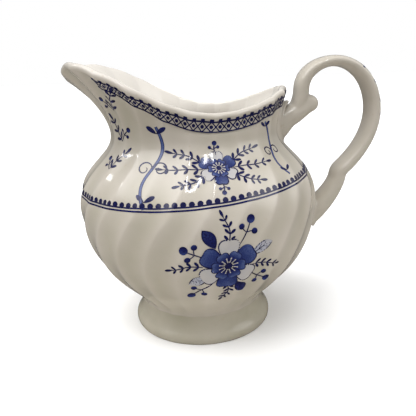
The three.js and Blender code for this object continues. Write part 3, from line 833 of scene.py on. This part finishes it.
def level_at(angle, run):
    """Level t at an angle and a run, read between the four nearest entries of the table."""
    a = (np.asarray(angle) % (2 * np.pi)) / (2 * np.pi) * ANGLE_STEPS
    r = np.clip((np.asarray(run) - TABLE_RUNS[0]) / RUN_STEP, 0, len(TABLE_RUNS) - 2)
    i, j = np.minimum(a.astype(int), ANGLE_STEPS - 1), r.astype(int)
    fa, fr = a - i, r - j
    return ((1 - fa) * ((1 - fr) * run_to_level[i, j] + fr * run_to_level[i, j + 1])
            + fa * ((1 - fr) * run_to_level[i + 1, j] + fr * run_to_level[i + 1, j + 1]))


def radius_at(run):
    """Distance from the axis at a run, at the front."""
    level = run_to_level[FRONT_ENTRY]
    return np.interp(run, TABLE_RUNS, np.hypot(*np.moveaxis(
        smooth_surface(1.5 * np.pi, level)[..., :2], -1, 0)))


def around_anchor(angle, run):
    """Motif coordinates: mm to the right of the anchor's upright line and mm up the wall from it."""
    def to_wall(u, v):
        return math.radians(angle) + u / radius_at(run + v), run + v
    return to_wall


def on_jug(to_wall):
    """Puts motif coordinates on the fluted wall, lifted off it by some mm."""
    def place(u, v, lift):
        angle, run = to_wall(u, v)
        return jug_surface(angle, level_at(angle, run), -lift)
    return place


# %% [markdown]
# ## Strokes of the pattern
#
# A leaf, a petal, a berry and a bud are all the unit disc pulled into shape, so one map serves them
# all: pinched at the base, pointed at the ends, notched at the tip. A line is a ribbon along a smooth
# curve. Each stroke carries how much ink it holds, from bare glaze at 0 to full navy at 1.


# %% Shapes
def disc_grid(count):
    """A square grid squeezed to the unit disc: x sqrt(1 - y^2/2), y sqrt(1 - x^2/2)."""
    x, y = np.meshgrid(np.linspace(-1, 1, count), np.linspace(-1, 1, count))
    return x * np.sqrt(1 - y * y / 2), y * np.sqrt(1 - x * x / 2)


def pulled_disc(at, turn, length, width, pinch=0.0, notch=0.0, point=0.0, bend=0.0):
    """A map from the unit disc to a petal or leaf; turn is where its tip points, in degrees.

    Across = x width/2, less the pinch towards the base, times (1 - y^2)^(point/2), plus a bend.
    Along = y length/2, less a notch at the middle of the tip.
    """
    c, s = math.cos(math.radians(turn)), math.sin(math.radians(turn))

    def place(x, y):
        rest = np.maximum(1 - y * y, 0)
        across = x * width / 2 * (1 - pinch * (1 - y) / 2) * rest ** (point / 2) + bend * rest
        along = y * length / 2 - notch * np.exp(-(x / 0.35) ** 2) * np.clip(y, 0, 1) ** 3
        return at[0] + along * c + across * s, at[1] + along * s - across * c
    return place


def smooth_curve(points, spacing=0.45):
    """A Catmull-Rom curve through some points, at an even spacing in mm."""
    p = np.asarray(points, float)
    p = np.vstack([2 * p[0] - p[1], p, 2 * p[-1] - p[-2]])
    t = np.linspace(0, 1, 20, endpoint=False)[:, None]
    pieces = [0.5 * (2 * b + (c - a) * t + (2 * a - 5 * b + 4 * c - d) * t**2
                     + (3 * b - a - 3 * c + d) * t**3) for a, b, c, d in zip(p, p[1:], p[2:], p[3:])]
    fine = np.vstack(pieces + [p[-2:-1]])
    run = np.concatenate([[0], np.cumsum(np.linalg.norm(np.diff(fine, axis=0), axis=-1))])
    at = np.linspace(0, run[-1], max(3, int(run[-1] / spacing) + 1))
    return np.stack([np.interp(at, run, fine[:, 0]), np.interp(at, run, fine[:, 1])], -1)


# A stroke is (u, v, ink, closed): three arrays of rows and columns, closed if its rows come round.
def fill(shape, core, edge, count=8):
    """The whole of a shape, its ink going from core at the base to edge at the tip."""
    x, y = disc_grid(count)
    u, v = shape(x, y)
    return u, v, mix(core, edge, fade(y, -1, 1)), False


def outline(shape, width=0.3, ink=0.95, count=36):
    """A line of even width just inside the edge of a shape, closed."""
    turn = np.arange(count) / count * 2 * np.pi
    u, v = shape(np.cos(turn), np.sin(turn))
    edge = np.stack([u, v], -1)
    heading = unit(np.roll(edge, -1, 0) - np.roll(edge, 1, 0))
    inward = np.stack([-heading[:, 1], heading[:, 0]], -1)
    centre = edge.mean(0)
    inward *= np.sign(np.sum((centre - edge) * inward, -1).sum())
    inner = edge + inward * width
    rows = np.stack([edge, inner], 1)
    return rows[..., 0], rows[..., 1], np.full(rows.shape[:2], ink), True


def stroke(points, width=0.4, ink=0.9, core=None, taper=0.3):
    """A line along a smooth curve, thinner at its ends, its middle paler if it has a core."""
    line = smooth_curve(points)
    heading = unit(np.gradient(line, axis=0))
    side = np.stack([-heading[:, 1], heading[:, 0]], -1)
    share = np.linspace(0, 1, len(line))
    swell = taper + (1 - taper) * np.sin(np.pi * share) ** 0.4
    if core is None:
        across, inks = np.array([-1.0, 1.0]), np.array([ink, ink])
    else:
        across, inks = np.array([-1, -0.45, 0.45, 1]), np.array([ink, core, core, ink])
    rows = line[:, None] + side[:, None] * (across * width / 2)[:, None] * swell[:, None, None]
    return rows[..., 0], rows[..., 1], np.broadcast_to(inks, rows.shape[:2]), False


def between(base, tip, width, **form):
    """The map of a shape that runs from a base point to a tip point."""
    base, tip = np.asarray(base, float), np.asarray(tip, float)
    along = tip - base
    return pulled_disc((base + tip) / 2, math.degrees(math.atan2(along[1], along[0])),
                       float(np.hypot(*along)), width, **form)


print("a filled disc takes", fill(between((0, 0), (4, 0), 4), 1, 1)[0].size, "points, a 10 mm line",
      stroke([(0, 0), (5, 0), (10, 0)])[0].size)


# %% Parts of a plant
def drop(base, tip, width, core=0.9, edge=0.95):
    """A bud or small leaf, thin at the stalk and round at the end."""
    return [fill(between(base, tip, width, pinch=0.5, point=0.25), core, edge, 6)]


def leaf(base, tip, width, core=0.55, edge=0.85, vein=0.97, bend=0.0):
    """A pointed leaf with an outline, a midrib and two pairs of side veins."""
    base, tip = np.asarray(base, float), np.asarray(tip, float)
    shape = between(base, tip, width, pinch=0.15, point=0.8, bend=bend)
    side = unit(np.array([tip[1] - base[1], base[0] - tip[0]]))
    rib = [mix(base, tip, 0.05), mix(base, tip, 0.5) + side * bend, mix(base, tip, 0.9)]
    strokes = [fill(shape, core, edge), outline(shape, 0.42, 0.97), stroke(rib, 0.42, vein)]
    for share in (0.32, 0.55):
        start = mix(base, tip, share) + side * bend
        for way in (-1, 1):
            end = mix(base, tip, share + 0.2) + side * (bend + way * width * 0.3)
            strokes.append(stroke([start, mix(start, end, 0.5), end], 0.26, vein))
    return strokes


def petal(at, turn, length, width, core=0.7, edge=0.5, line=0.4):
    """A round petal with a small notch at its tip and a dark outline."""
    shape = pulled_disc(at, turn, length, width, pinch=0.4, notch=0.5)
    return [fill(shape, core, edge), outline(shape, line, 0.96)]


def berry(at, radius, core=0.95, edge=0.95):
    """A round dot."""
    return [fill(pulled_disc(at, 90, 2 * radius, 2 * radius), core, edge, 5)]


def sprig(points, pairs, size, ink=0.92, width=0.42, spread=50):
    """A stem with pairs of small leaves standing off it, smaller towards its end, and one at its tip."""
    line = smooth_curve(points, 0.2)
    heading = unit(np.gradient(line, axis=0))
    strokes = [stroke(points, width, ink)]
    for k in range(pairs):
        share = k / max(pairs - 1, 1)
        i = int(mix(0.12, 0.86, share) * (len(line) - 1))
        long = size * mix(1.0, 0.8, share)
        for turn in (spread, -spread):
            c, s = math.cos(math.radians(turn)), math.sin(math.radians(turn))
            way = np.array([c * heading[i, 0] - s * heading[i, 1], s * heading[i, 0] + c * heading[i, 1]])
            strokes += drop(line[i] + way * 0.1, line[i] + way * long, 0.48 * long, ink, ink)
    return strokes + drop(line[-1] - heading[-1] * 0.3, line[-1] + heading[-1] * size, 0.48 * size, ink, ink)


def stamens(at, count, start, end, ink=0.04, width=0.26, knob=0.22):
    """Thin rays around a flower's heart, each with a knob at its end."""
    strokes = []
    for k in range(count):
        turn = 2 * math.pi * (k + 0.5) / count
        way = np.array([math.cos(turn), math.sin(turn)])
        strokes.append(stroke([at + way * start, at + way * mix(start, end, 0.5), at + way * end], width, ink,
                              taper=0.9))
        strokes += berry(at + way * end, knob, ink, ink)
    return strokes


print("a sprig of four pairs has", len(sprig([(0, 0), (5, 1), (10, 0)], 4, 2.6)), "strokes")


# %% [markdown]
# ### From strokes to sheets
#
# A stroke's grid is laid twice, just over the glaze and just under it, and the two are joined round
# their edge, so each is a closed sheet. Later strokes lie a hair higher than earlier ones, as paint
# does. The edge of a sheet is kept sharp, so that its top is shaded like the glaze around it.

# %% Print sheets
SHEET_TOP, SHEET_BOTTOM, SHEET_STEP = 0.045, -0.10, 0.0006


def sheet_faces(rows, columns, closed):
    """Faces of a top grid, the bottom grid after it, and the walls between their edges."""
    count = rows * columns
    ring_rows = rows + 1 if closed else rows
    r, c = np.meshgrid(np.arange(ring_rows - 1), np.arange(columns - 1), indexing="ij")
    after = (r + 1) % rows
    top = np.stack([r * columns + c, r * columns + c + 1, after * columns + c + 1, after * columns + c],
                   -1).reshape(-1, 4)
    faces = [top, top[:, ::-1] + count]
    r = np.arange(ring_rows - 1)
    after = (r + 1) % rows
    for column, order in ((0, 1), (columns - 1, -1)):
        low, high = r * columns + column, after * columns + column
        faces.append(np.stack([low, high, high + count, low + count], -1)[:, ::order])
    if not closed:
        c = np.arange(columns - 1)
        for row, order in ((0, -1), (rows - 1, 1)):
            low, high = row * columns + c, row * columns + c + 1
            faces.append(np.stack([low, high, high + count, low + count], -1)[:, ::order])
    return np.vstack(faces)


def print_piece(name, prints):
    """One mesh from lists of strokes, each list with the function that puts it on the surface."""
    points, faces, inks, start = [], [], [], 0
    for strokes, place in prints:
        sizes = [u.shape for u, *_ in strokes]
        lifts = np.concatenate([np.full(u.size, SHEET_TOP + SHEET_STEP * k)
                                for k, (u, *_) in enumerate(strokes)])
        u = np.concatenate([s[0].ravel() for s in strokes])
        v = np.concatenate([s[1].ravel() for s in strokes])
        top, bottom = place(u, v, lifts), place(u, v, np.full(u.size, SHEET_BOTTOM))
        done = 0
        for (rows, columns), (su, sv, ink, closed) in zip(sizes, strokes):
            count = rows * columns
            facing = np.sum(np.diff(su, axis=0)[:, :-1] * np.diff(sv, axis=1)[:-1]
                            - np.diff(sv, axis=0)[:, :-1] * np.diff(su, axis=1)[:-1])
            quads = sheet_faces(rows, columns, closed)
            faces.append((quads if facing < 0 else quads[:, ::-1]) + start)
            points += [top[done:done + count], bottom[done:done + count]]
            inks += [np.ravel(ink), np.ravel(ink)]
            start, done = start + 2 * count, done + count
    piece = make_piece(name, np.vstack(points), np.vstack(faces).tolist(), ink=np.concatenate(inks))
    piece.data.set_sharp_from_angle(angle=math.radians(50))
    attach(piece, "root")
    piece.data.materials.append(cobalt_print)
    return piece


print("a sheet is", round(SHEET_TOP - SHEET_BOTTOM, 3), "mm thick and stands", SHEET_TOP, "mm off the clay")


# %% [markdown]
# ### Cobalt under glaze
#
# The ink is cobalt oxide in oil, printed from an engraved plate. Full strokes fire to navy, stippled
# washes to a paler blue, and the tissue leaves the colour slightly patchy. It lies under the same
# glaze as the clay, so it has the same gloss. The real stipple is a tenth of a millimetre, too fine
# to show here, so it is drawn three times as coarse.

# %% Ink
cobalt_print, tree = new_material("cobalt_transfer_print")
place_on_print = add_node(tree, "ShaderNodeTexCoord").outputs["Object"]
held = add_node(tree, "ShaderNodeAttribute", attribute_name="ink").outputs["Fac"]
stipple = add_node(tree, "ShaderNodeTexNoise", {"Vector": place_on_print, "Scale": per_mm(0.35),
                                                "Detail": 1.0})
patchy = add_node(tree, "ShaderNodeTexNoise", {"Vector": place_on_print, "Scale": per_mm(3.5),
                                               "Detail": 2.0})
grain = add_node(tree, "ShaderNodeMapRange", {"Value": stipple.outputs["Fac"], "From Min": 0.3,
                                              "From Max": 0.7, "To Min": -0.12, "To Max": 0.12})
patch_share = add_node(tree, "ShaderNodeMapRange", {"Value": patchy.outputs["Fac"], "From Min": 0.3,
                                                    "From Max": 0.7, "To Min": -0.06, "To Max": 0.08})
rough = add_node(tree, "ShaderNodeMath", {0: grain.outputs[0], 1: patch_share.outputs[0]}, operation="ADD")
amount = add_node(tree, "ShaderNodeMath", {0: held, 1: rough.outputs[0], 2: held},
                  operation="MULTIPLY_ADD", use_clamp=True)
colours = add_node(tree, "ShaderNodeValToRGB", {"Fac": amount.outputs[0]})
ramp = colours.color_ramp
ramp.elements[0].color, ramp.elements[1].color = linear("#c3bdb3"), linear("#01063a")
for position, colour in ((0.2, "#939bb4"), (0.4, "#4b5a8a"), (0.6, "#27366c"), (0.8, "#0c1552")):
    ramp.elements.new(position).color = linear(colour)
ink_shader = add_node(tree, "ShaderNodeBsdfPrincipled",
                      {"Base Color": colours.outputs["Color"], "Roughness": 0.09, "IOR": 1.5})
add_node(tree, "ShaderNodeOutputMaterial", {"Surface": ink_shader.outputs["BSDF"]})
print("ink:", cobalt_print.name, "with", len(ramp.elements), "colours from bare glaze to navy")

# %% [markdown]
# ## The rim border
#
# Round the rim runs a narrow lace: a line with beads standing on it, another line below, and a row
# of lozenges between them, each with a dot. It starts beside the spout, runs past the handle and
# ends on the other side of the spout.

# %% Rim border
BORDER_START, BORDER_END = math.radians(218.5), math.radians(360 + 141.5)
BORDER_TOP, BORDER_BOTTOM = 0.9, 4.15       # below the lip's outer edge
LOZENGE = 3.0


def border_wall():
    """Border coordinates: mm along the lip's edge from the border's start, and mm below the edge."""
    angle = np.linspace(BORDER_START, BORDER_END, 2000)
    edge = smooth_surface(angle, 3)
    run = np.concatenate([[0], np.cumsum(np.linalg.norm(np.diff(edge, axis=0), axis=-1))])

    def to_wall(u, v):
        at = np.interp(u, run, angle)
        return at, np.interp(at % (2 * np.pi), TABLE_ANGLES, rim_runs) - v
    return to_wall, run[-1]


def lozenge(at, half_length, half_height, line, ink, middle):
    """Four straight strokes round a middle point of the band."""
    corners = [(at + half_length, middle), (at, middle - half_height), (at - half_length, middle),
               (at, middle + half_height)]
    return [stroke([a, mix(np.array(a), np.array(b), 0.5), b], line, ink, taper=1.0)
            for a, b in zip(corners, corners[1:] + corners[:1])]


def rim_border():
    """The lace in border coordinates: two lines, then a bead and a lozenge for each pitch."""
    to_wall, length = border_wall()
    count = int(length / LOZENGE)
    pitch = length / count
    middle, half = (BORDER_TOP + BORDER_BOTTOM) / 2, (BORDER_BOTTOM - BORDER_TOP) / 2
    along = np.linspace(0.5, length - 0.5, count)
    strokes = []
    for k in range(count):
        at = (k + 0.5) * pitch
        strokes += lozenge(at, pitch / 2, half, 0.40, 0.94, middle)
        strokes += berry((at, middle), 0.62)
        strokes += berry((at, BORDER_TOP - 0.5), 0.68)
    strokes.append(stroke(np.stack([along, np.full(count, BORDER_TOP)], -1), 0.55, 0.97))
    strokes.append(stroke(np.stack([along, np.full(count, BORDER_BOTTOM)], -1), 0.45, 0.95))
    return strokes, on_jug(to_wall)


print_piece("rim_border_print", [rim_border()])

# %% [markdown]
# ## The shoulder band
#
# Where the shoulder begins, two fine lines run right round with a row of beads standing on the upper
# one. The jug was turned slightly askew when they were banded on, so they rise towards the handle.

# %% Shoulder band
BAND_HEIGHT, BAND_TILT_X, BAND_TILT_Y = 61.1, 0.062, 0.02
BEADS = 103
shoulder = slice(LEVEL_STEPS, 2 * LEVEL_STEPS)          # entries from the belly to the neck
off_plane = table_points[..., 2] - (BAND_HEIGHT + BAND_TILT_X * table_points[..., 0]
                                    + BAND_TILT_Y * table_points[..., 1])
band_runs = np.array([np.interp(0, off[shoulder], run[shoulder]) for off, run in zip(off_plane, wall_runs)])


def band_run(angle):
    """Run of the band's upper line at an angle."""
    return np.interp(angle % (2 * np.pi), TABLE_ANGLES, band_runs)


def band_wall():
    """Band coordinates: mm around and mm up from the upper line."""
    radius = float(radius_at(band_runs.mean()))

    def to_wall(u, v):
        return u / radius, band_run(u / radius) + v
    return to_wall, 2 * np.pi * radius


def shoulder_band():
    """Two closed lines and the beads, which are flat where they stand on the line."""
    to_wall, length = band_wall()
    around = np.arange(720) / 720 * length
    strokes = []
    for height, width, ink in ((0.0, 0.55, 0.93), (-1.05, 0.60, 0.88)):
        u = np.stack([around, around], -1)
        v = height + np.array([-width / 2, width / 2]) + 0 * u
        strokes.append((u, v, np.full(u.shape, ink), True))
    for k in range(BEADS):
        at = (k + 0.5) * length / BEADS
        strokes.append(fill(pulled_disc((at, 0.85), 90, 1.85, 1.75, pinch=-0.15), 0.98, 0.98, 6))
    return strokes, on_jug(to_wall)


print_piece("shoulder_band_print", [shoulder_band()])

# %% [markdown]
# ## Scrolls, flowers and twigs
#
# Printed ware of this kind is filled with scrolled stems and open flowers. Instead of copying one
# engraver's plate, the jug gets plain ones from a few rules: a curl is a circle that winds in, a
# flower is rings of equal petals, and a twig is a bent line with leaves or berries.

# %% Curl, flower and twigs
CURL_SWING, CURL_VANISH = 410, 560      # degrees a curl winds, and where its radius would reach 0


def toward(turn):
    """A step of 1 mm at a turn in degrees, with right at 0 and up at 90."""
    return np.array([math.cos(math.radians(turn)), math.sin(math.radians(turn))])


def curl(at, turn, size, hand):
    """A tendril that leaves its stem at a turn and winds in to the left for hand 1, right for -1."""
    swing = np.linspace(0, CURL_SWING, 13)
    middle = np.asarray(at) + size * toward(turn + 90 * hand)
    points = [middle + size * (1 - s / CURL_VANISH) * toward(turn - 90 * hand + hand * s) for s in swing]
    return stroke(points, 0.5, 0.9)


def open_flower(radius, petals):
    """Two rings of equal petals, the inner ones between the outer, round a heart with stamens."""
    strokes = []
    for k in range(petals):
        turn = 360 * k / petals + 90
        core, edge = (0.08, 0.05) if k % 2 == 0 else (0.72, 0.5)
        strokes += petal(0.64 * radius * toward(turn), turn, 0.74 * radius, 5.2 * radius / petals,
                         core, edge)
    for k in range(petals):
        turn = 360 * (k + 0.5) / petals + 90
        strokes += petal(0.36 * radius * toward(turn), turn, 0.46 * radius, 3.2 * radius / petals,
                         0.9, 0.4, 0.3)
    strokes += stamens(np.zeros(2), 2 * petals, 0.12 * radius, 0.3 * radius, width=0.24, knob=0.25)
    return strokes + berry((0, 0), 0.13 * radius)


def bent(base, tip, bend):
    """Three points of a line from base to tip that bows to its left by bend."""
    base, tip = np.asarray(base, float), np.asarray(tip, float)
    left = unit(np.array([base[1] - tip[1], tip[0] - base[0]]))
    return [base, mix(base, tip, 0.5) + bend * left, tip]


def berry_twig(base, tip, bend, size):
    """A thin twig with a berry at its end and a smaller one on each side."""
    line = bent(base, tip, bend)
    strokes = [stroke(line, 0.42, 0.94)]
    heading = unit(line[2] - line[0])
    left = np.array([-heading[1], heading[0]])
    for hand in (-1, 1):
        end = line[1] + 1.7 * size * (hand * left + 0.5 * heading)
        strokes.append(stroke(bent(line[1], end, 0.2), 0.36, 0.92))
        strokes += berry(end, 0.7 * size, 0.95, 0.7)
    return strokes + berry(line[2], size, 0.6, 0.95)


print("A flower of radius 10 mm has", len(open_flower(10, 6)), "strokes")

# %% [markdown]
# ## The neck panels
#
# Scrolled stems part the neck into panels, and each wide panel holds a flower with leafy sprigs to
# both sides. The back is the front's panel turned round the axis, as from one plate, not mirrored.

# %% Stems and panels
PANEL_ANGLE, BACK_TURN = 281.5, -208
PANEL_HEIGHT = 22.5


def scroll_stem(height, sway, width, size):
    """A stem in one slow S, with a curl to each hand at its middle and two buds at each end."""
    v = np.linspace(height / 2, -height / 2, 9)
    u = sway * np.sin(2 * np.pi * v / height)
    strokes = [stroke(np.stack([u, v], -1), width, 0.92, core=0.45, taper=0.85)]
    strokes += [curl((0, 0), 90, size, hand) for hand in (-1, 1)]
    for end in (-1, 1):
        root = np.array([0, 0.42 * end * height])
        for hand in (-1, 1):
            strokes += drop(root, root + 1.4 * size * toward(90 - 55 * hand), 0.7 * size, 0.95, 0.8)
    return strokes


def neck_panel():
    """A flower with three sprigs to each side, fanned evenly, and a berry twig above and below."""
    strokes = []
    for side in (0, 180):
        for fan, long in ((-24, 15), (0, 18), (24, 15)):
            turn = side + fan
            strokes += sprig(bent(5 * toward(turn), long * toward(turn), 0.04 * fan), 4, 2.7, spread=45)
    for turn in (90, 270):
        strokes += berry_twig(5 * toward(turn), 9 * toward(turn), 0.3, 0.8)
    return strokes + open_flower(6.6, 6)


def spout_sprigs():
    """Three sprigs one under another beside the spout, each with a berry twig, leaning by turns."""
    strokes = []
    for k in range(3):
        root = np.array([0, 4.0 - 11.0 * k])
        lean = 28 if k % 2 else -28
        strokes += sprig(bent(root, root + 8 * toward(90 + lean), 0.6), 3, 3.0, spread=50)
        strokes += berry_twig(root, root + 6 * toward(90 - 1.6 * lean), 0.4, 0.9)
    return strokes


def both_sides(strokes, angle, run):
    """A motif of the neck on the front and on the back, each as high above the band."""
    rise = run - band_run(math.radians(angle))
    return [(strokes, on_jug(around_anchor(turned, rise + band_run(math.radians(turned)))))
            for turned in (angle, angle + BACK_TURN)]


wide_stem, fine_stem = scroll_stem(29, 2.2, 1.25, 2.9), scroll_stem(21, 1.8, 0.85, 2.1)
print_piece("stem_prints", both_sides(wide_stem, 247, PANEL_HEIGHT) + both_sides(fine_stem, 321, 26))
print_piece("neck_panel_prints", both_sides(neck_panel(), PANEL_ANGLE, PANEL_HEIGHT))
print_piece("spout_sprig_prints", [(spout_sprigs(), on_jug(around_anchor(angle, 38)))
                                   for angle in (218, 146)])
print("Stem strokes:", len(wide_stem), "and", len(fine_stem), "; panel strokes:", len(neck_panel()))

# %% [markdown]
# ## The belly bouquet
#
# The largest print sits low on each side of the belly: an open flower with leaves, sprigs and berry
# twigs standing round it. They come by turns every thirty degrees, and seeded randomness varies their
# length and lean, so the ring looks drawn and every run gives the same one.

# %% Bouquet
BOUQUET_RUN, BOUQUET_REACH = -12, 19.0


def bouquet():
    """Leaves, sprigs and berry twigs by turns in a ring, then the flower over their feet."""
    draw = np.random.default_rng(11)
    strokes = []
    for k in range(12):
        turn = 30 * k + draw.uniform(-5, 5)
        reach = BOUQUET_REACH * draw.uniform(0.88, 1.06)
        bend = draw.uniform(-1.5, 1.5)
        base, tip = 8.5 * toward(turn), reach * toward(turn + draw.uniform(-6, 6))
        if k % 3 == 0:
            strokes += sprig(bent(base, tip, bend), 4, 2.6, 0.94, spread=45)
        elif k % 3 == 1:
            core, edge = (0.9, 0.7) if k % 2 == 0 else (0.15, 0.1)
            strokes += leaf(base, 0.88 * tip, 4.6, core, edge, bend=0.3 * bend)
        else:
            strokes += berry_twig(base, 0.94 * tip, bend, 1.5)
    return strokes + open_flower(10.5, 6)


print_piece("belly_bouquet_prints", [(bouquet(), on_jug(around_anchor(281.4 + turn, BOUQUET_RUN)))
                                     for turn in (0, BACK_TURN + 11)])
print("Bouquet strokes:", len(bouquet()))

# %% [markdown]
# ## Brush dabs on the handle
#
# The handle was finished with a loaded brush: a few short strokes across the back of the loop. They
# are laid from outside onto the finished surface, so each point of a dab is the place where a ray
# towards the middle of the loop meets the handle. Blender casts one ray at a time, so this one
# piece is worked out point by point; it has only a few hundred.

# %% Handle dabs
handle_finder = BVHTree.FromObject(handle, bpy.context.evaluated_depsgraph_get())
LOOP_OUT, LOOP_UP, LOOP_RADIUS = 18, 9, 24      # the loop's middle from the neck, and its size
LOOP_MIDDLE = Vector(((NECK_RADIUS + LOOP_OUT + AXIS_X) * MM, 0, (NECK_HEIGHT + LOOP_UP) * MM))
OUTSIDE_LOOP = 0.05                             # metres from the middle, well beyond the strap
DAB_HALF, DAB_WIDTH = 5.9, 1.9
DABS = ((47, 12), (21, -10), (3, 8), (-16, -14))    # degrees round the loop, and tilt


def on_loop_back(turn):
    """Dab coordinates: mm across the strap and mm along the back, round a turn above the X axis."""
    def place(u, v, lift):
        angle = math.radians(turn) + np.asarray(v) / LOOP_RADIUS
        points = []
        for across, at, height in zip(np.ravel(u), np.ravel(angle), np.ravel(lift)):
            way = Vector((math.cos(at), 0, math.sin(at)))
            start = LOOP_MIDDLE + Vector((0, across * MM, 0)) + way * OUTSIDE_LOOP
            hit, normal, *_ = handle_finder.ray_cast(start, -way)
            points.append((hit + normal * height * MM) / MM)
        return np.array(points) - [AXIS_X, 0, 0]
    return place


dabs = []
for turn, tilt in DABS:
    lean = math.tan(math.radians(tilt))
    line = [(-DAB_HALF, -DAB_HALF * lean - 0.5), (-2.5, -2.5 * lean), (1.5, 1.5 * lean + 0.4),
            (DAB_HALF, DAB_HALF * lean)]
    dab = stroke(line, DAB_WIDTH, 0.9, core=0.75, taper=0.7)
    dabs.append(([dab], on_loop_back(turn)))
print_piece("handle_dab_prints", dabs)

# %% [markdown]
# ## The floor
#
# The jug stands on a white sheet. A sheet that is really white throws so much light back that the
# walls lose their shading, so its tone depends on who looks: pure white to the camera, a light grey
# by the jug and a darker one further off for the light it throws back, and dark in the glaze.

# %% Floor
FLOOR_HALF = 6.0
BOUNCE_NEAR, BOUNCE_FAR, MIRRORED_TONE = "#dedbd6", "#9b9893", "#5f5d5a"
floor_mesh = bpy.data.meshes.new("floor")
floor_mesh.from_pydata([(-FLOOR_HALF, -FLOOR_HALF, 0), (FLOOR_HALF, -FLOOR_HALF, 0),
                        (FLOOR_HALF, FLOOR_HALF, 0), (-FLOOR_HALF, FLOOR_HALF, 0)], [], [(0, 1, 2, 3)])
floor = bpy.data.objects.new("floor", floor_mesh)
bpy.context.scene.collection.objects.link(floor)
paper, tree = new_material("white_paper")
away = add_node(tree, "ShaderNodeVectorMath",
                {0: add_node(tree, "ShaderNodeTexCoord").outputs["Object"]}, operation="LENGTH")
far = add_node(tree, "ShaderNodeMapRange", {"Value": away.outputs["Value"], "From Min": 0.08,
                                            "From Max": 0.32}, interpolation_type="SMOOTHSTEP")
bounce = add_node(tree, "ShaderNodeMix", {0: far.outputs[0], 6: linear(BOUNCE_NEAR),
                                          7: linear(BOUNCE_FAR)}, data_type="RGBA").outputs[2]
ray = add_node(tree, "ShaderNodeLightPath")
mirrored = add_node(tree, "ShaderNodeMix", {0: ray.outputs["Is Glossy Ray"], 6: bounce,
                                            7: linear(MIRRORED_TONE)}, data_type="RGBA").outputs[2]
tone = add_node(tree, "ShaderNodeMix", {0: ray.outputs["Is Camera Ray"], 6: mirrored,
                                        7: linear("#ffffff")}, data_type="RGBA").outputs[2]
sheet = add_node(tree, "ShaderNodeBsdfPrincipled", {"Base Color": tone, "Roughness": 0.9,
                                                    "Specular IOR Level": 0.0})
add_node(tree, "ShaderNodeOutputMaterial", {"Surface": sheet.outputs["BSDF"]})
floor_mesh.materials.append(paper)
print("floor:", 2 * FLOOR_HALF, "m across")

# %% [markdown]
# ## The lamps
#
# Most of the light is a wide soft sun from above, like a white ceiling, so what faces up is bright and
# the walls fall off to grey. Three small windows add the narrow highlights by which the eye knows a
# wet, glossy glaze. The sun is hidden from reflections, where its rim would be a hard line.


# %% Lamps
def area_light(name, size, radiance, place, aim):
    """A rectangular lamp of one radiance: power is radiance times its area times pi."""
    data = bpy.data.lights.new(name, "AREA")
    data.shape, data.size, data.size_y = "RECTANGLE", *size
    data.energy = radiance * size[0] * size[1] * math.pi
    lamp = bpy.data.objects.new(name, data)
    bpy.context.scene.collection.objects.link(lamp)
    away = Vector(place) - Vector(aim)
    lamp.matrix_world = Matrix.Translation(place) @ away.to_track_quat("Z", "Y").to_matrix().to_4x4()
    return lamp


area_light("window", (0.05, 0.16), 10.0, (-0.12, -0.30, 0.76), (0, 0, 0.08))
area_light("window_edge", (0.012, 0.26), 60.0, (0.035, -0.34, 0.74), (0, 0, 0.08))
area_light("far_window", (0.08, 0.08), 9.0, (-0.62, 0.10, 0.50), (0, 0, 0.08))

CEILING_STRENGTH, CEILING_SPREAD = 1.15, math.radians(50)
ceiling_data = bpy.data.lights.new("white_ceiling", "SUN")
ceiling_data.energy, ceiling_data.angle = CEILING_STRENGTH, CEILING_SPREAD
ceiling = bpy.data.objects.new("white_ceiling", ceiling_data)
bpy.context.scene.collection.objects.link(ceiling)
ceiling.matrix_world = Matrix.Rotation(math.radians(-5), 4, "X") @ Matrix.Rotation(math.radians(-6), 4, "Y")
ceiling.visible_glossy = False

# %% [markdown]
# ## The room
#
# A glaze shows what stands round it. The room is a smooth gradient, brighter upwards, with two soft
# bright areas like curtained windows; the camera itself sees plain white behind the jug.

# %% Room
CURTAINS = (((-0.52, -0.16, 0.80), 0.80, 3.3),      # direction, cosine at its edge, strength
            ((0.82, -0.22, 0.62), 0.86, 2.2))
world = bpy.data.worlds.new("studio")
bpy.context.scene.world = world
world.use_nodes = True
tree = world.node_tree
tree.nodes.clear()
seen = add_node(tree, "ShaderNodeLightPath").outputs["Is Camera Ray"]
direction = add_node(tree, "ShaderNodeTexCoord").outputs["Generated"]
upward = add_node(tree, "ShaderNodeSeparateXYZ", {0: direction}).outputs["Z"]
glow = add_node(tree, "ShaderNodeMapRange", {"Value": upward, "From Min": 0.0, "From Max": 1.0,
                                             "To Min": 0.24, "To Max": 0.50}, interpolation_type="SMOOTHSTEP")
light = glow.outputs[0]
for towards, edge_cosine, strength in CURTAINS:
    facing = add_node(tree, "ShaderNodeVectorMath", {0: direction, 1: Vector(towards).normalized()},
                      operation="DOT_PRODUCT")
    curtain = add_node(tree, "ShaderNodeMapRange",
                       {"Value": facing.outputs["Value"], "From Min": edge_cosine, "From Max": 1.0,
                        "To Min": 0.0, "To Max": strength}, interpolation_type="SMOOTHSTEP")
    light = add_node(tree, "ShaderNodeMath", {0: light, 1: curtain.outputs[0]}, operation="ADD").outputs[0]
room = add_node(tree, "ShaderNodeBackground", {"Color": linear("#ffffff"), "Strength": light})
backdrop = add_node(tree, "ShaderNodeBackground", {"Color": linear("#ffffff"), "Strength": 1.0})
both = add_node(tree, "ShaderNodeMixShader", {0: seen, 1: room.outputs[0], 2: backdrop.outputs[0]})
add_node(tree, "ShaderNodeOutputWorld", {"Surface": both.outputs[0]})
bpy.context.scene.view_settings.view_transform = "Standard"
print("room:", len(CURTAINS), "soft bright areas")
